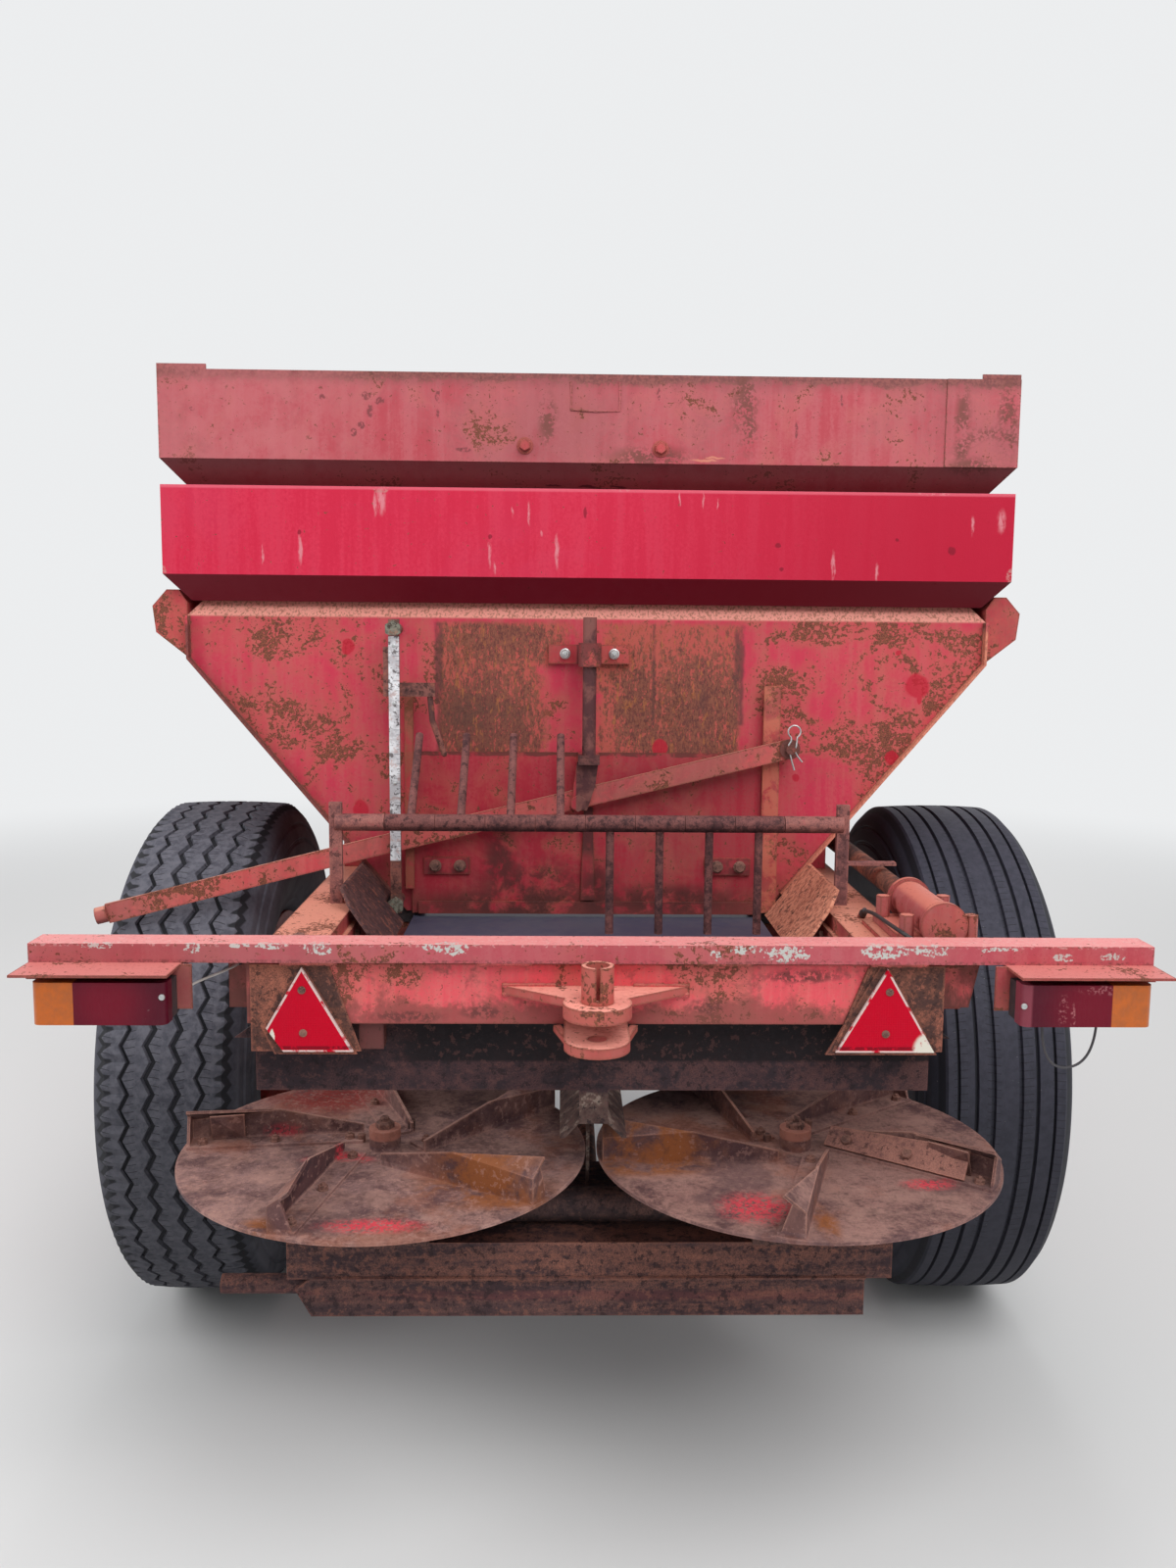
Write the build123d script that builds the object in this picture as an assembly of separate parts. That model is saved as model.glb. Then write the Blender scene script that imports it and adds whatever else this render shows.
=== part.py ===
from build123d import *
import math
import os

# Trailed lime spreader with a belt floor, a rear sliding gate and two spinning discs.
# Millimetres. X is to the right as seen from behind, Y points the way it is towed, Z is up.
# Every Y below is counted from the axle; place() moves the whole to the middle of its length.
# Z is counted from the ground.

# Wheels and axle
TYRE_RADIUS = 570
TYRE_WIDTH = 320
TREAD_WIDTH = 250
SHOULDER_DROP = 22
WHEEL_X = 846                # half the track, to the middle of the tread
RIM_RADIUS = 286             # bead seat of a 22.5 inch rim
RIM_WALL = 12
RIM_FLANGE = 18
FIT = 0.3                    # gap between curved faces that seat on each other
RUNNING = 0.05               # radial play of a shaft in its bore
AXLE_SIZE = 100
AXLE_HALF = 600
SPINDLE_RADIUS = 35
HUB_RADIUS = 92
HUB_INNER = 80               # hub, inwards of the middle of the tread
HUB_OUTER = 70

# Frame
RAIL_INNER = 455
RAIL_SIZE = 100
RAIL_WALL = 6
RAIL_TOP = 1027
REAR_FACE = -1030            # rear face of the rear cross beam
BEAM_DEPTH = 60
BEAM_HEIGHT = 98
BEAM_WALL = 8
END_STRIP = 40               # upright strip that sticks out past each end of the rear beam
END_PLATE = 62               # and the plate in front of the one on the right
UNDER_BLOCK_X = -360         # rusty block under the rear beam
UNDER_BLOCK = 39
FRONT_FACE = 1860            # front face of the front cross beam
RAIL_OUTER = RAIL_INNER + RAIL_SIZE
RAIL_BOTTOM = RAIL_TOP - RAIL_SIZE
RAIL_REAR = REAR_FACE + BEAM_DEPTH
RAIL_FRONT = FRONT_FACE - BEAM_DEPTH
BEAM_BOTTOM = RAIL_TOP - BEAM_HEIGHT
STAND_TOP = 300              # length of an axle stand along the rail
STAND_FOOT = 130
STAND_THICK = 70
AXLE_SHOULDER = 46           # collar on the spindle, inside the hub
DEFLECTOR_BOTTOM = 800       # plate that hangs from the rear cross beam
DIVIDER_HALF = 56            # ridge that parts the flow to the two discs
DIVIDER_BOTTOM = 714
DIVIDER_TOP = 772
DIVIDER_FRONT = -700
DIVIDER_WEB_Y = (-770, -740)  # thin plate from the ridge down to the spinner beam

# Drawbar, towing eye and parking jack
EYE_Y = 2900
EYE_Z = 600
EYE_BORE = 25
EYE_RADIUS = 58
EYE_THICK = 36
NOSE_WIDTH = 110
NOSE_HEIGHT = 110
NOSE_REAR = 2480
NOSE_FRONT = 2760
ARM_WIDTH = 80
ARM_HEIGHT = 100
ARM_REAR_X = 470
ARM_REAR_Z = 975
ARM_FRONT_X = 60
JACK_Y = 2700
JACK_X = -115
JACK_TUBE = 40
JACK_TUBE_WALL = 5
JACK_LEG = 32
JACK_TOP = 980
JACK_TUBE_BOTTOM = 400
JACK_FOOT = 180
JACK_FOOT_THICK = 10
JACK_TRAVEL = 300
JACK_COLLAR = 60             # thick end of the leg, inside the tube
CRANK_ARM = 150
CRANK_GRIP = 90

# Hopper: the outside of a half section, and its walls
HOPPER_REAR = -335
HOPPER_FRONT = 1715
HOPPER_WALL = 5
HOPPER_BOTTOM = 957
HOPPER_BOTTOM_HALF = 385
HOPPER_SHOULDER = 1490       # where the slope turns upright
HOPPER_HALF = 833
HOPPER_FOLD = 1580           # where the top edge folds inwards
HOPPER_TOP = 1610
FOLD_INSET = 25
RIM_PLATE = 6
BRACKET_THICK = 8
BRACKET_Y = (-200, 420, 1040, 1600)
EDGE_PROUD = 20              # reach of the side plates past the end walls
EDGE_FOOT = 1000             # where that edge starts
RIM_OUT = 72                 # reach of the boxed rim past the side
RIM_UP = 22
BRACKET_OUT = 85             # reach of a hopper bracket across the rail

# Extension boards, one ring on top of the other
EXT_OUT = 35                 # how far the boards stand out past the hopper's sides
EXT_HALF = HOPPER_HALF + EXT_OUT
EXT_BEVEL_IN = 45
EXT_BEVEL_UP = 52
EXT_WALL = 4
EXT_FLANGE = 60
EXT_LIP = 30
LOWER_BOARD = 230            # height of each board
UPPER_BOARD = 226
LOWER_EXT_TOP = HOPPER_TOP + LOWER_BOARD
UPPER_EXT_TOP = LOWER_EXT_TOP + UPPER_BOARD
CORNER_LIP = 10              # rise of the corner posts over the upper boards
CORNER_LEFT = 98
CORNER_RIGHT = 78
CORNER_PLATE = 150           # plate over the right end of the rear upper board
CORNER_THICK = 3

# Gate, its rod and the lever that lifts it
GATE_HALF = 372
GATE_BOTTOM = 955
GATE_TOP = 1300
GATE_THICK = 6
GATE_GAP = 5
GATE_OPENING_HALF = 345
GATE_OPENING_TOP = 1280
GATE_FOLD = 26               # folded lower edge
GATE_STRAP = 200             # height of the strap in the middle of the gate
WEAR_BOTTOM = 1040           # plates with two bolts each near the gate's lower corners
WEAR_HEIGHT = 36
WEAR_LENGTH = 96
WEAR_LEFT = -346
WEAR_RIGHT = 250
GUIDE_TOP = 1443
GUIDE_OUTER = 402
GUIDE_LEFT = 384
GUIDE_LEFT_FOOT = 1010
GUIDE_FOOT = 960
GUIDE_LIP = 8
GATE_PIN_X = -21
GATE_PIN_Z = 1200
GATE_PIN_RADIUS = 6
FORK_Y = -396                # rear face of the fork's leg, behind which the lever passes
FORK_THICK = 8
ROD_RADIUS = 14
ROD_Y = -402
ROD_BOTTOM = 1285
ROD_TOP = 1582
GUIDE_Z = 1506
ROD_PLATE = 85               # half the plate that guides the rod
ROD_PLATE_THICK = 13
ROD_COLLAR = 23
ROD_COLLAR_HEIGHT = 48
LEVER_PIVOT_X = 419
LEVER_PIVOT_Z = 1313.5
LEVER_FRONT = -372
LEVER_THICK = 10
LEVER_WIDTH = 40
LEVER_DROP = 0.244           # fall of the bar to the left, per unit of its run
LEVER_BEND_X = -460
LEVER_TIP_X = -975
LEVER_TIP_Z = 977
LEVER_SWEEP = 37.3           # setback of the lever's middle over the tyre's inner edge
LEVER_CLEAR = 60             # and its clearance from the tread there
GRIP_RADIUS = 17
GRIP_LENGTH = 22
PIVOT_RADIUS = 10
PIVOT_BOSS = 15
PIVOT_WASHER = 21
SLOT_PLAY = 2

# Scale beside the gate
SCALE_X = -398
SCALE_WIDTH = 22
SCALE_Y = -407
SCALE_TOP = 1575
SCALE_BOTTOM = 968
SCALE_THICK = 8
SCALE_STUD = 10
SCALE_HEAD = 30
CLAMP_BOTTOM = 1418          # clamp behind the bar
CLAMP_TOP = 1446
CLAMP_RIGHT = 82             # its reach to the right of the bar's middle
CLAMP_PLATE_TOP = 1519       # and its upright plate on the left
POINTER_RADIUS = 6
POINTER = ((71, 0), (76, -56), (100, -124))  # bends of the pointer, from the bar's middle and the clamp

# Guard rail with its fingers
POST_X = 490
POST_WIDTH = 24
POST_DEPTH = 14
POST_TOP = 1224
POST_TAB = 94                # flat tab that the right post carries
POST_TAB_Z = 1106
GUARD_Y = -580
GUARD_Z = 1185
GUARD_RADIUS = 11            # rod inside the fingers' sleeves
FINGER_COUNT = 8
FINGER_FIRST = -347
FINGER_PITCH = 96.3
FINGER_RADIUS = 8
FINGERS_UP = 4
FINGER_UP_Y = -408
FINGER_UP_Z = 1340
FINGER_DOWN_Z = 968
SLEEVE_RADIUS = 16.5
SLEEVE_GAP = 1

# Belt floor
BELT_HALF = 370
BELT_TOP = 948
BELT_THICK = 8
ROLLER_RADIUS = 70
ROLLER_REAR = -700
ROLLER_FRONT = 1640
ROLLER_SHAFT = 17.5
PLATE_HALF = 80              # half the length of a roller plate
PLATE_TOP = 1000
PLATE_UNDER = 60
CROSS_TUBE = 40
CHUTE_TOP = 1066
CHUTE_THICK = 5
CHUTE_FRONT = -364
CHUTE_REAR = ((-630, 1066), (-672, 1040), (-697, 995), (-700, 957))  # rear edge, top to bottom
CROSS_TUBE_Y = (-320, 260, 940, 1500)

# Spinner
DISC_X = 367
DISC_Y = -826
DISC_Z = 631
DISC_THICK = 6
DISC_RADIUS = 357
DISC_HUB = 28
DISC_HUB_TOP = 674
DISC_SHAFT = 20
VANES = 5
VANE_OFFSET = 60             # a vane runs beside the line through the disc's centre
VANE_INNER = 40
VANE_FOLD = 190              # where the folded lip starts
VANE_INNER_HEIGHT = 20
VANE_HEIGHT = 54
VANE_OUTER_HEIGHT = 43
VANE_LIP = 30
VANE_LIP_HEIGHT = 68
VANE_THICK = 5
VANE_FOOT = 40
SPIN_REAR = -900
SPIN_FRONT = -560
SPIN_TOP = 494
SPIN_STEP = 427
SPIN_BOTTOM = 355
SPIN_WALL = 6
SPIN_UPPER_HALF = 530
SPIN_LOWER_HALF = 484
GEARBOX_HALF = 85
GEARBOX_TOP = 566
HANGER_X = 462
HANGER_THICK = 12
HANGER_REAR = -440
HANGER_FRONT = -340
PIPE_RADIUS = 17
PIPE_OUT = -650
PIPE_DROP = 23
TROUGH_DEPTH = 70

# Rear light bar and lamps
BAR_HALF = 888
BAR_REAR = -1050
BAR_DEPTH = 60
BAR_BOTTOM = 1033
BAR_HEIGHT = 30
BAR_TABS = (-500, -190, 160, 440)  # left ends of the tabs between the bar and the beam
BAR_TAB = 90
LAMP_INSET = 30              # lamp's outer end, inwards of the bar's end
LAMP_LENGTH = 203
LAMP_OUTER = BAR_HALF - LAMP_INSET
LAMP_INNER = LAMP_OUTER - LAMP_LENGTH
LAMP_AMBER = 63
LAMP_BOTTOM = 953
LAMP_TOP = 1019
LENS_DEPTH = 30
HOUSING_DEPTH = 26
LAMP_REAR = -1117
LENS_ROUND = 12
HOOD_INNER = LAMP_INNER - 5
HOOD_EDGE = -1126
HOOD_THICK = 4
LAMP_STRAP = 22              # width of the strip that carries a lamp

# Reflector triangles
REFLECTOR_X = 466
REFLECTOR_BASE = 885
REFLECTOR_TOP = 1023
REFLECTOR_HALF = 80
REFLECTOR_THICK = 5
BACKING_THICK = 4
BACKING_MARGIN = 9

# Rear hitch
HITCH_Y = -1120
HITCH_LOBE = 53
HITCH_WING = 150
HITCH_PLATE_Z = 978
HITCH_PLATE = 14
HITCH_TUBE_TOP = 1050
HITCH_TUBE_OUTER = 25
HITCH_TUBE_INNER = 18
TONGUE_Z = 918
TONGUE_THICK = 16
TONGUE_HALF = 51
TONGUE_HOLE = 15

# Side shaft over the right rail, and the drive line under the axle
SIDE_X = 578
SIDE_Z = 1075
SIDE_RADIUS = 20
SIDE_REAR = -950
SIDE_MID = -750
SIDE_FRONT = 1760
SHELF_THICK = 8
SHELF_IN = 60                # its reach over the rail
SHELF_OUT = 72               # and past the shaft's middle
HOUSING_RADIUS = 33
CAP_RADIUS = 39
LINE_UNDER_AXLE = 65         # drive line, under the axle
LINE_Z = TYRE_RADIUS - AXLE_SIZE / 2 - LINE_UNDER_AXLE
LINE_RADIUS = 22
LINE_FRONT = 1960
STUB_RADIUS = 17.5           # power take-off stub
STUB_LENGTH = 90
BLOCK_Y = (420, 1680)        # rear faces of the two blocks that carry the side shaft
BLOCK_DEPTH = 36
LINE_HANGER = 40             # half the width of a hanger of the drive line
LINE_HANGER_DEPTH = 30

# Cords: diameter, then the corners of the route, each end on the face that it comes out of
CABLE = 7
CABLE_GLAND = ((507, -680, 1024), (-0.03, -0.82, 0.57))
CABLE_GLAND_LENGTH = 20
CABLE_RISE = 30              # straight run out of the gland
CABLE_ROUTE = ((502, -938, 1066), (530, -965, 1050), (530, -990, 1050))
WIRE = 4
LEFT_WIRE_X = (8 - HOOD_INNER, -RAIL_OUTER - 20)
RIGHT_WIRE_X = (LAMP_OUTER - 67, LAMP_INNER + 49)
LEFT_WIRE_ROUTE = (
    (LEFT_WIRE_X[0], -1057, 993),
    (LEFT_WIRE_X[0], -1027, 993),
    (LEFT_WIRE_X[1], -1013, 1017),
    (LEFT_WIRE_X[1], -982, 1017),
)
RIGHT_WIRE_ROUTE = (
    (RIGHT_WIRE_X[0], -1074, 956),
    (RIGHT_WIRE_X[0], -1074, 878),
    (RIGHT_WIRE_X[1], -1074, 869),
    (RIGHT_WIRE_X[1], -1074, 956),
)

# the towing eye is foremost and the discs' rims are rearmost
AXLE_Y = -(EYE_Y + EYE_RADIUS + DISC_Y - DISC_RADIUS) / 2

NODES = {}


def place(shape):
    """Moves a shape from the axle's frame to the part's own frame."""
    return Pos(0, AXLE_Y, 0) * shape


def block(x, y, z):
    """Box between the low and high values on each axis."""
    size = [span[1] - span[0] for span in (x, y, z)]
    middle = [(span[1] + span[0]) / 2 for span in (x, y, z)]
    return Pos(*middle) * Box(*size)


def prism_x(points, x):
    """Outline in Y and Z, from x[0] to x[1]."""
    face = Plane.YZ.offset(x[0]) * Polygon(*points, align=None)
    return extrude(face, amount=x[1] - x[0], dir=(1, 0, 0))


def prism_y(points, y):
    """Outline in X and Z, from y[0] to y[1]."""
    face = Plane.XZ.offset(-y[1]) * Polygon(*points, align=None)
    return extrude(face, amount=y[1] - y[0], dir=(0, -1, 0))


def prism_z(points, z):
    """Outline in X and Y, from z[0] to z[1]."""
    face = Plane.XY.offset(z[0]) * Polygon(*points, align=None)
    return extrude(face, amount=z[1] - z[0], dir=(0, 0, 1))


def rod(start, end, radius):
    """Round bar between two points."""
    line = Vector(*end) - Vector(*start)
    plane = Plane(origin=Vector(*start), z_dir=line)
    return extrude(plane * Circle(radius), amount=line.length)


def flat(start, end, width, thick, normal):
    """Flat bar between two points, its thickness along the normal."""
    line = Vector(*end) - Vector(*start)
    plane = Plane(origin=Vector(*start), x_dir=Vector(*normal), z_dir=line)
    return extrude(plane * Rectangle(thick, width), amount=line.length)


def both_sides(shape):
    """A shape on the right and its mirror image on the left, apart."""
    return group(shape, mirror(shape, Plane.YZ))


def group(*shapes):
    """Solids that share a node without touching."""
    return Compound([solid for shape in shapes for solid in shape.solids()])


def hexagon_bolt(centre, direction, across, head, length=0):
    """Hexagon head, with its shank behind it where a length is given."""
    plane = Plane(origin=Vector(*centre), z_dir=Vector(*direction))
    bolt = extrude(plane * RegularPolygon(across / 2, 6, major_radius=False), amount=head)
    if length:
        bolt += extrude(plane * Circle(across * 0.3), amount=-length)
    return bolt


def cord(route, diameter):
    """Round cord along the straight runs of a route, with an arc at every corner."""
    points = [Vector(*point) for point in route]
    radii = []
    for before, corner, after in zip(points, points[1:], points[2:]):
        turn = (corner - before).get_angle(after - corner)
        run = min((corner - before).length, (after - corner).length)
        radii.append(0.45 * run / math.tan(math.radians(turn) / 2))
    line = FilletPolyline(*points, radius=radii)
    profile = Plane(origin=points[0], z_dir=points[1] - points[0]) * Circle(diameter / 2)
    tube = sweep(profile, path=line)
    ideal = math.pi * diameter**2 / 4 * line.length
    shown = [round(radius, 1) for radius in radii]
    print("cord of", round(line.length, 1), "mm, radii", shown, "volume ratio", round(tube.volume / ideal, 4))
    return tube


def tyre(x):
    """Plain tyre round its own middle at x; only its outline is here, not its tread."""
    tread, wide = TREAD_WIDTH / 2, TYRE_WIDTH / 2
    bead = wide * 0.72
    lip = RIM_RADIUS + RIM_FLANGE + 3
    shoulder = TYRE_RADIUS - SHOULDER_DROP
    edge = TYRE_RADIUS - 4
    widest = (RIM_RADIUS + TYRE_RADIUS) / 2
    outline = [
        Line((-bead, RIM_RADIUS), (bead, RIM_RADIUS)),
        Line((bead, RIM_RADIUS), (bead, lip)),
        ThreePointArc((bead, lip), (wide, widest), (tread + 12, shoulder)),
        Line((tread + 12, shoulder), (tread - 6, edge)),
        ThreePointArc((tread - 6, edge), (0, TYRE_RADIUS), (6 - tread, edge)),
        Line((6 - tread, edge), (-tread - 12, shoulder)),
        ThreePointArc((-tread - 12, shoulder), (-wide, widest), (-bead, lip)),
        Line((-bead, lip), (-bead, RIM_RADIUS)),
    ]
    ring = revolve(make_face(outline), Axis.X, 360)
    return Pos(x, 0, TYRE_RADIUS) * ring


def wheel(side):
    """Rim, dished disc and hub of one wheel; side is +1 on the right and -1 on the left."""
    bead = TYRE_WIDTH * 0.36
    seat = RIM_RADIUS - FIT
    barrel = seat - RIM_WALL
    dish = 40                # disc, outwards of the middle of the tread
    disc = 14
    profile = [
        (-bead - 8, seat + RIM_FLANGE),
        (-bead - 2, seat + RIM_FLANGE),
        (-bead - 2, seat),
        (bead + 2, seat),
        (bead + 2, seat + RIM_FLANGE),
        (bead + 8, seat + RIM_FLANGE),
        (bead + 8, barrel),
        (dish + disc, barrel),
        (dish + disc - 30, HUB_RADIUS + 60),
        (dish + disc - 30, HUB_RADIUS),
        (HUB_OUTER, HUB_RADIUS - 12),
        (HUB_OUTER, 62),
        (HUB_OUTER + 45, 55),
        (HUB_OUTER + 45, 0),
        (HUB_OUTER + 8, 0),
        (HUB_OUTER + 8, SPINDLE_RADIUS + RUNNING),
        (-HUB_INNER, SPINDLE_RADIUS + RUNNING),
        (-HUB_INNER, HUB_RADIUS - 20),
        (dish - 42, HUB_RADIUS),
        (dish - 30, HUB_RADIUS + 60),
        (dish, barrel),
        (-bead - 8, barrel),
    ]
    solid = revolve(make_face(Polyline(*profile, close=True)), Axis.X, 360)
    if side < 0:
        solid = mirror(solid, Plane.YZ)
    return Pos(side * WHEEL_X, 0, TYRE_RADIUS) * solid


def wheels():
    for name, side in (("left", -1), ("right", 1)):
        NODES[name + "_tyre"] = tyre(side * WHEEL_X)
        NODES[name + "_rim"] = wheel(side)


def axle():
    half = AXLE_SIZE / 2
    beam = block((-AXLE_HALF, AXLE_HALF), (-half, half), (TYRE_RADIUS - half, TYRE_RADIUS + half))
    end = WHEEL_X + HUB_OUTER
    for side in (-1, 1):
        beam += rod((side * AXLE_HALF, 0, TYRE_RADIUS), (side * end, 0, TYRE_RADIUS), SPINDLE_RADIUS)
        collar = side * (AXLE_HALF + AXLE_SIZE)
        beam += rod((side * AXLE_HALF, 0, TYRE_RADIUS), (collar, 0, TYRE_RADIUS), AXLE_SHOULDER)
    middle = RAIL_INNER + RAIL_SIZE / 2
    outline = [
        (-STAND_TOP / 2, RAIL_BOTTOM),
        (STAND_TOP / 2, RAIL_BOTTOM),
        (STAND_FOOT / 2, TYRE_RADIUS + half),
        (-STAND_FOOT / 2, TYRE_RADIUS + half),
    ]
    x = (middle - STAND_THICK / 2, middle + STAND_THICK / 2)
    stand = prism_x(outline, x)
    NODES["axle"] = beam + stand + mirror(stand, Plane.YZ)


def frame():
    outer = block((RAIL_INNER, RAIL_OUTER), (RAIL_REAR, RAIL_FRONT), (RAIL_BOTTOM, RAIL_TOP))
    inner = block(
        (RAIL_INNER + RAIL_WALL, RAIL_OUTER - RAIL_WALL),
        (RAIL_REAR, RAIL_FRONT),
        (RAIL_BOTTOM + RAIL_WALL, RAIL_TOP - RAIL_WALL),
    )
    rail = outer - inner
    out_of = Vector(*CABLE_GLAND[0])
    heading = Vector(*CABLE_GLAND[1]).normalized()
    gland_end = out_of + heading * CABLE_GLAND_LENGTH
    risen = gland_end + heading * CABLE_RISE
    gland = rod(tuple(out_of), tuple(gland_end), CABLE) - inner
    NODES["frame_rails"] = group(rail + gland, mirror(rail, Plane.YZ))
    NODES["rail_cable"] = cord([tuple(gland_end), tuple(risen), *CABLE_ROUTE], CABLE)
    wall = BEAM_WALL

    def channel(web, inside):
        """Channel across the frame: web is its closed face, inside its open one."""
        step = wall if inside > web else -wall
        points = [
            (web, BEAM_BOTTOM),
            (inside, BEAM_BOTTOM),
            (inside, BEAM_BOTTOM + wall),
            (web + step, BEAM_BOTTOM + wall),
            (web + step, RAIL_TOP - wall),
            (inside, RAIL_TOP - wall),
            (inside, RAIL_TOP),
            (web, RAIL_TOP),
        ]
        return prism_x(points, (-RAIL_OUTER, RAIL_OUTER))

    strip_y = (RAIL_REAR - 12, RAIL_REAR - 4)
    strip = block((RAIL_OUTER, RAIL_OUTER + END_STRIP), strip_y, (BEAM_BOTTOM + 12, RAIL_TOP))
    wide = prism_y(
        [
            (RAIL_OUTER, BEAM_BOTTOM + 14),
            (RAIL_OUTER + END_PLATE, BEAM_BOTTOM + 14),
            (RAIL_OUTER + END_PLATE + 18, RAIL_TOP),
            (RAIL_OUTER, RAIL_TOP),
        ],
        strip_y,
    )
    lump = block(
        (UNDER_BLOCK_X - UNDER_BLOCK / 2, UNDER_BLOCK_X + UNDER_BLOCK / 2),
        (REAR_FACE + 12, REAR_FACE + 46),
        (BEAM_BOTTOM - 46, BEAM_BOTTOM + wall),
    )
    NODES["rear_cross_beam"] = channel(REAR_FACE, RAIL_REAR) + wide + mirror(strip, Plane.YZ) + lump
    NODES["front_cross_beam"] = channel(FRONT_FACE, RAIL_FRONT)
    plate_y = (RAIL_REAR - 10, RAIL_REAR - 2)
    plate = block((-RAIL_OUTER, RAIL_OUTER), plate_y, (DEFLECTOR_BOTTOM, BEAM_BOTTOM))
    for side in (-1, 1):
        low = BEAM_BOTTOM - 40
        ear = [(RAIL_OUTER, low), (RAIL_OUTER + 34, low), (RAIL_OUTER, low + 24)]
        plate += prism_y([(side * x, z) for x, z in ear], plate_y)
    strap = block((-24, 24), plate_y, (DIVIDER_TOP - 30, DEFLECTOR_BOTTOM))
    half, low, top = DIVIDER_HALF, DIVIDER_BOTTOM, DIVIDER_TOP
    ridge = prism_y(
        [(-half, low), (0, top), (half, low), (half - 8, low), (0, top - 8), (8 - half, low)],
        (RAIL_REAR - 2, DIVIDER_FRONT),
    )
    web = block((-7, -1), DIVIDER_WEB_Y, (SPIN_TOP, top - 10))
    NODES["rear_deflector"] = plate + strap + ridge + web


def drawbar():
    nose_half = NOSE_WIDTH / 2
    nose_z = (EYE_Z - NOSE_HEIGHT / 2, EYE_Z + NOSE_HEIGHT / 2)
    nose = block((-nose_half, nose_half), (NOSE_REAR, NOSE_FRONT), nose_z)
    start = Vector(ARM_REAR_X, FRONT_FACE - 60, ARM_REAR_Z)
    end = Vector(ARM_FRONT_X, NOSE_REAR + 120, EYE_Z)
    arm = flat(start, end, ARM_WIDTH, ARM_HEIGHT, (0, 0, 1))
    reach = ARM_REAR_X + 2 * ARM_WIDTH
    levels = (EYE_Z - 2 * ARM_HEIGHT, ARM_REAR_Z + 2 * ARM_HEIGHT)
    behind = block((0, reach), (FRONT_FACE - reach, FRONT_FACE), levels)
    arm = arm - behind - nose - block((-reach, 0), (FRONT_FACE, EYE_Y), levels)
    NODES["drawbar_arms"] = both_sides(arm)
    shank = block((-30, 30), (NOSE_FRONT, EYE_Y), (EYE_Z - EYE_THICK / 2, EYE_Z + EYE_THICK / 2))
    flange = block((-nose_half, nose_half), (NOSE_FRONT, NOSE_FRONT + 16), nose_z)
    lobe = Pos(0, EYE_Y, EYE_Z) * Cylinder(EYE_RADIUS, EYE_THICK)
    bore = Pos(0, EYE_Y, EYE_Z) * Cylinder(EYE_BORE, EYE_THICK * 2)
    NODES["drawbar_nose"] = nose + shank + flange + lobe - bore


def jack():
    outer = JACK_TUBE
    middle = (JACK_TUBE_BOTTOM + JACK_TOP) / 2
    tube = Pos(JACK_X, JACK_Y, middle) * (
        Cylinder(outer, JACK_TOP - JACK_TUBE_BOTTOM)
        - Cylinder(outer - JACK_TUBE_WALL, JACK_TOP - JACK_TUBE_BOTTOM)
    )
    lid = Pos(JACK_X, JACK_Y, JACK_TOP + 6) * Cylinder(outer, 12)
    crank = rod((JACK_X, JACK_Y, JACK_TOP + 12), (JACK_X, JACK_Y, JACK_TOP + 40), 10)
    crank += rod((JACK_X, JACK_Y, JACK_TOP + 40), (JACK_X - CRANK_ARM, JACK_Y, JACK_TOP + 40), 8)
    grip_top = JACK_TOP + 40 + CRANK_GRIP
    crank += rod((JACK_X - CRANK_ARM, JACK_Y, JACK_TOP + 32), (JACK_X - CRANK_ARM, JACK_Y, grip_top), 8)
    bracket = block(
        (JACK_X, -NOSE_WIDTH / 2), (JACK_Y - 45, JACK_Y + 45), (EYE_Z - 45, EYE_Z + 45)
    ) - Pos(JACK_X, JACK_Y, EYE_Z) * Cylinder(outer - 1, 200)
    NODES["jack_tube"] = tube + lid + crank + bracket
    leg_top = JACK_TOP - JACK_TRAVEL - JACK_COLLAR
    leg = Pos(JACK_X, JACK_Y, (leg_top + JACK_FOOT_THICK) / 2) * Cylinder(
        JACK_LEG, leg_top - JACK_FOOT_THICK
    )
    half = JACK_FOOT / 2
    foot = block(
        (JACK_X - half, JACK_X + half), (JACK_Y - half, JACK_Y + half), (0, JACK_FOOT_THICK)
    )
    collar = Pos(JACK_X, JACK_Y, leg_top - JACK_COLLAR / 2) * Cylinder(
        JACK_TUBE - JACK_TUBE_WALL - RUNNING, JACK_COLLAR
    )
    NODES["jack_leg"] = leg + foot + collar


def hopper_half(inset):
    """Half section of the hopper wall, moved inwards by the wall's thickness."""
    slope = math.atan2(HOPPER_SHOULDER - HOPPER_BOTTOM, HOPPER_HALF - HOPPER_BOTTOM_HALF)
    side = inset / math.sin(slope)
    lift = inset * (1 - math.cos(slope)) / math.sin(slope)
    fold = math.atan2(HOPPER_TOP - HOPPER_FOLD, FOLD_INSET)
    drop = inset * (1 - math.sin(fold)) / math.cos(fold)
    across = inset / math.sin(fold)
    return [
        (HOPPER_BOTTOM_HALF - side, HOPPER_BOTTOM),
        (HOPPER_HALF - inset, HOPPER_SHOULDER + lift),
        (HOPPER_HALF - inset, HOPPER_FOLD - drop),
        (HOPPER_HALF - FOLD_INSET - across, HOPPER_TOP),
    ]


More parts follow.
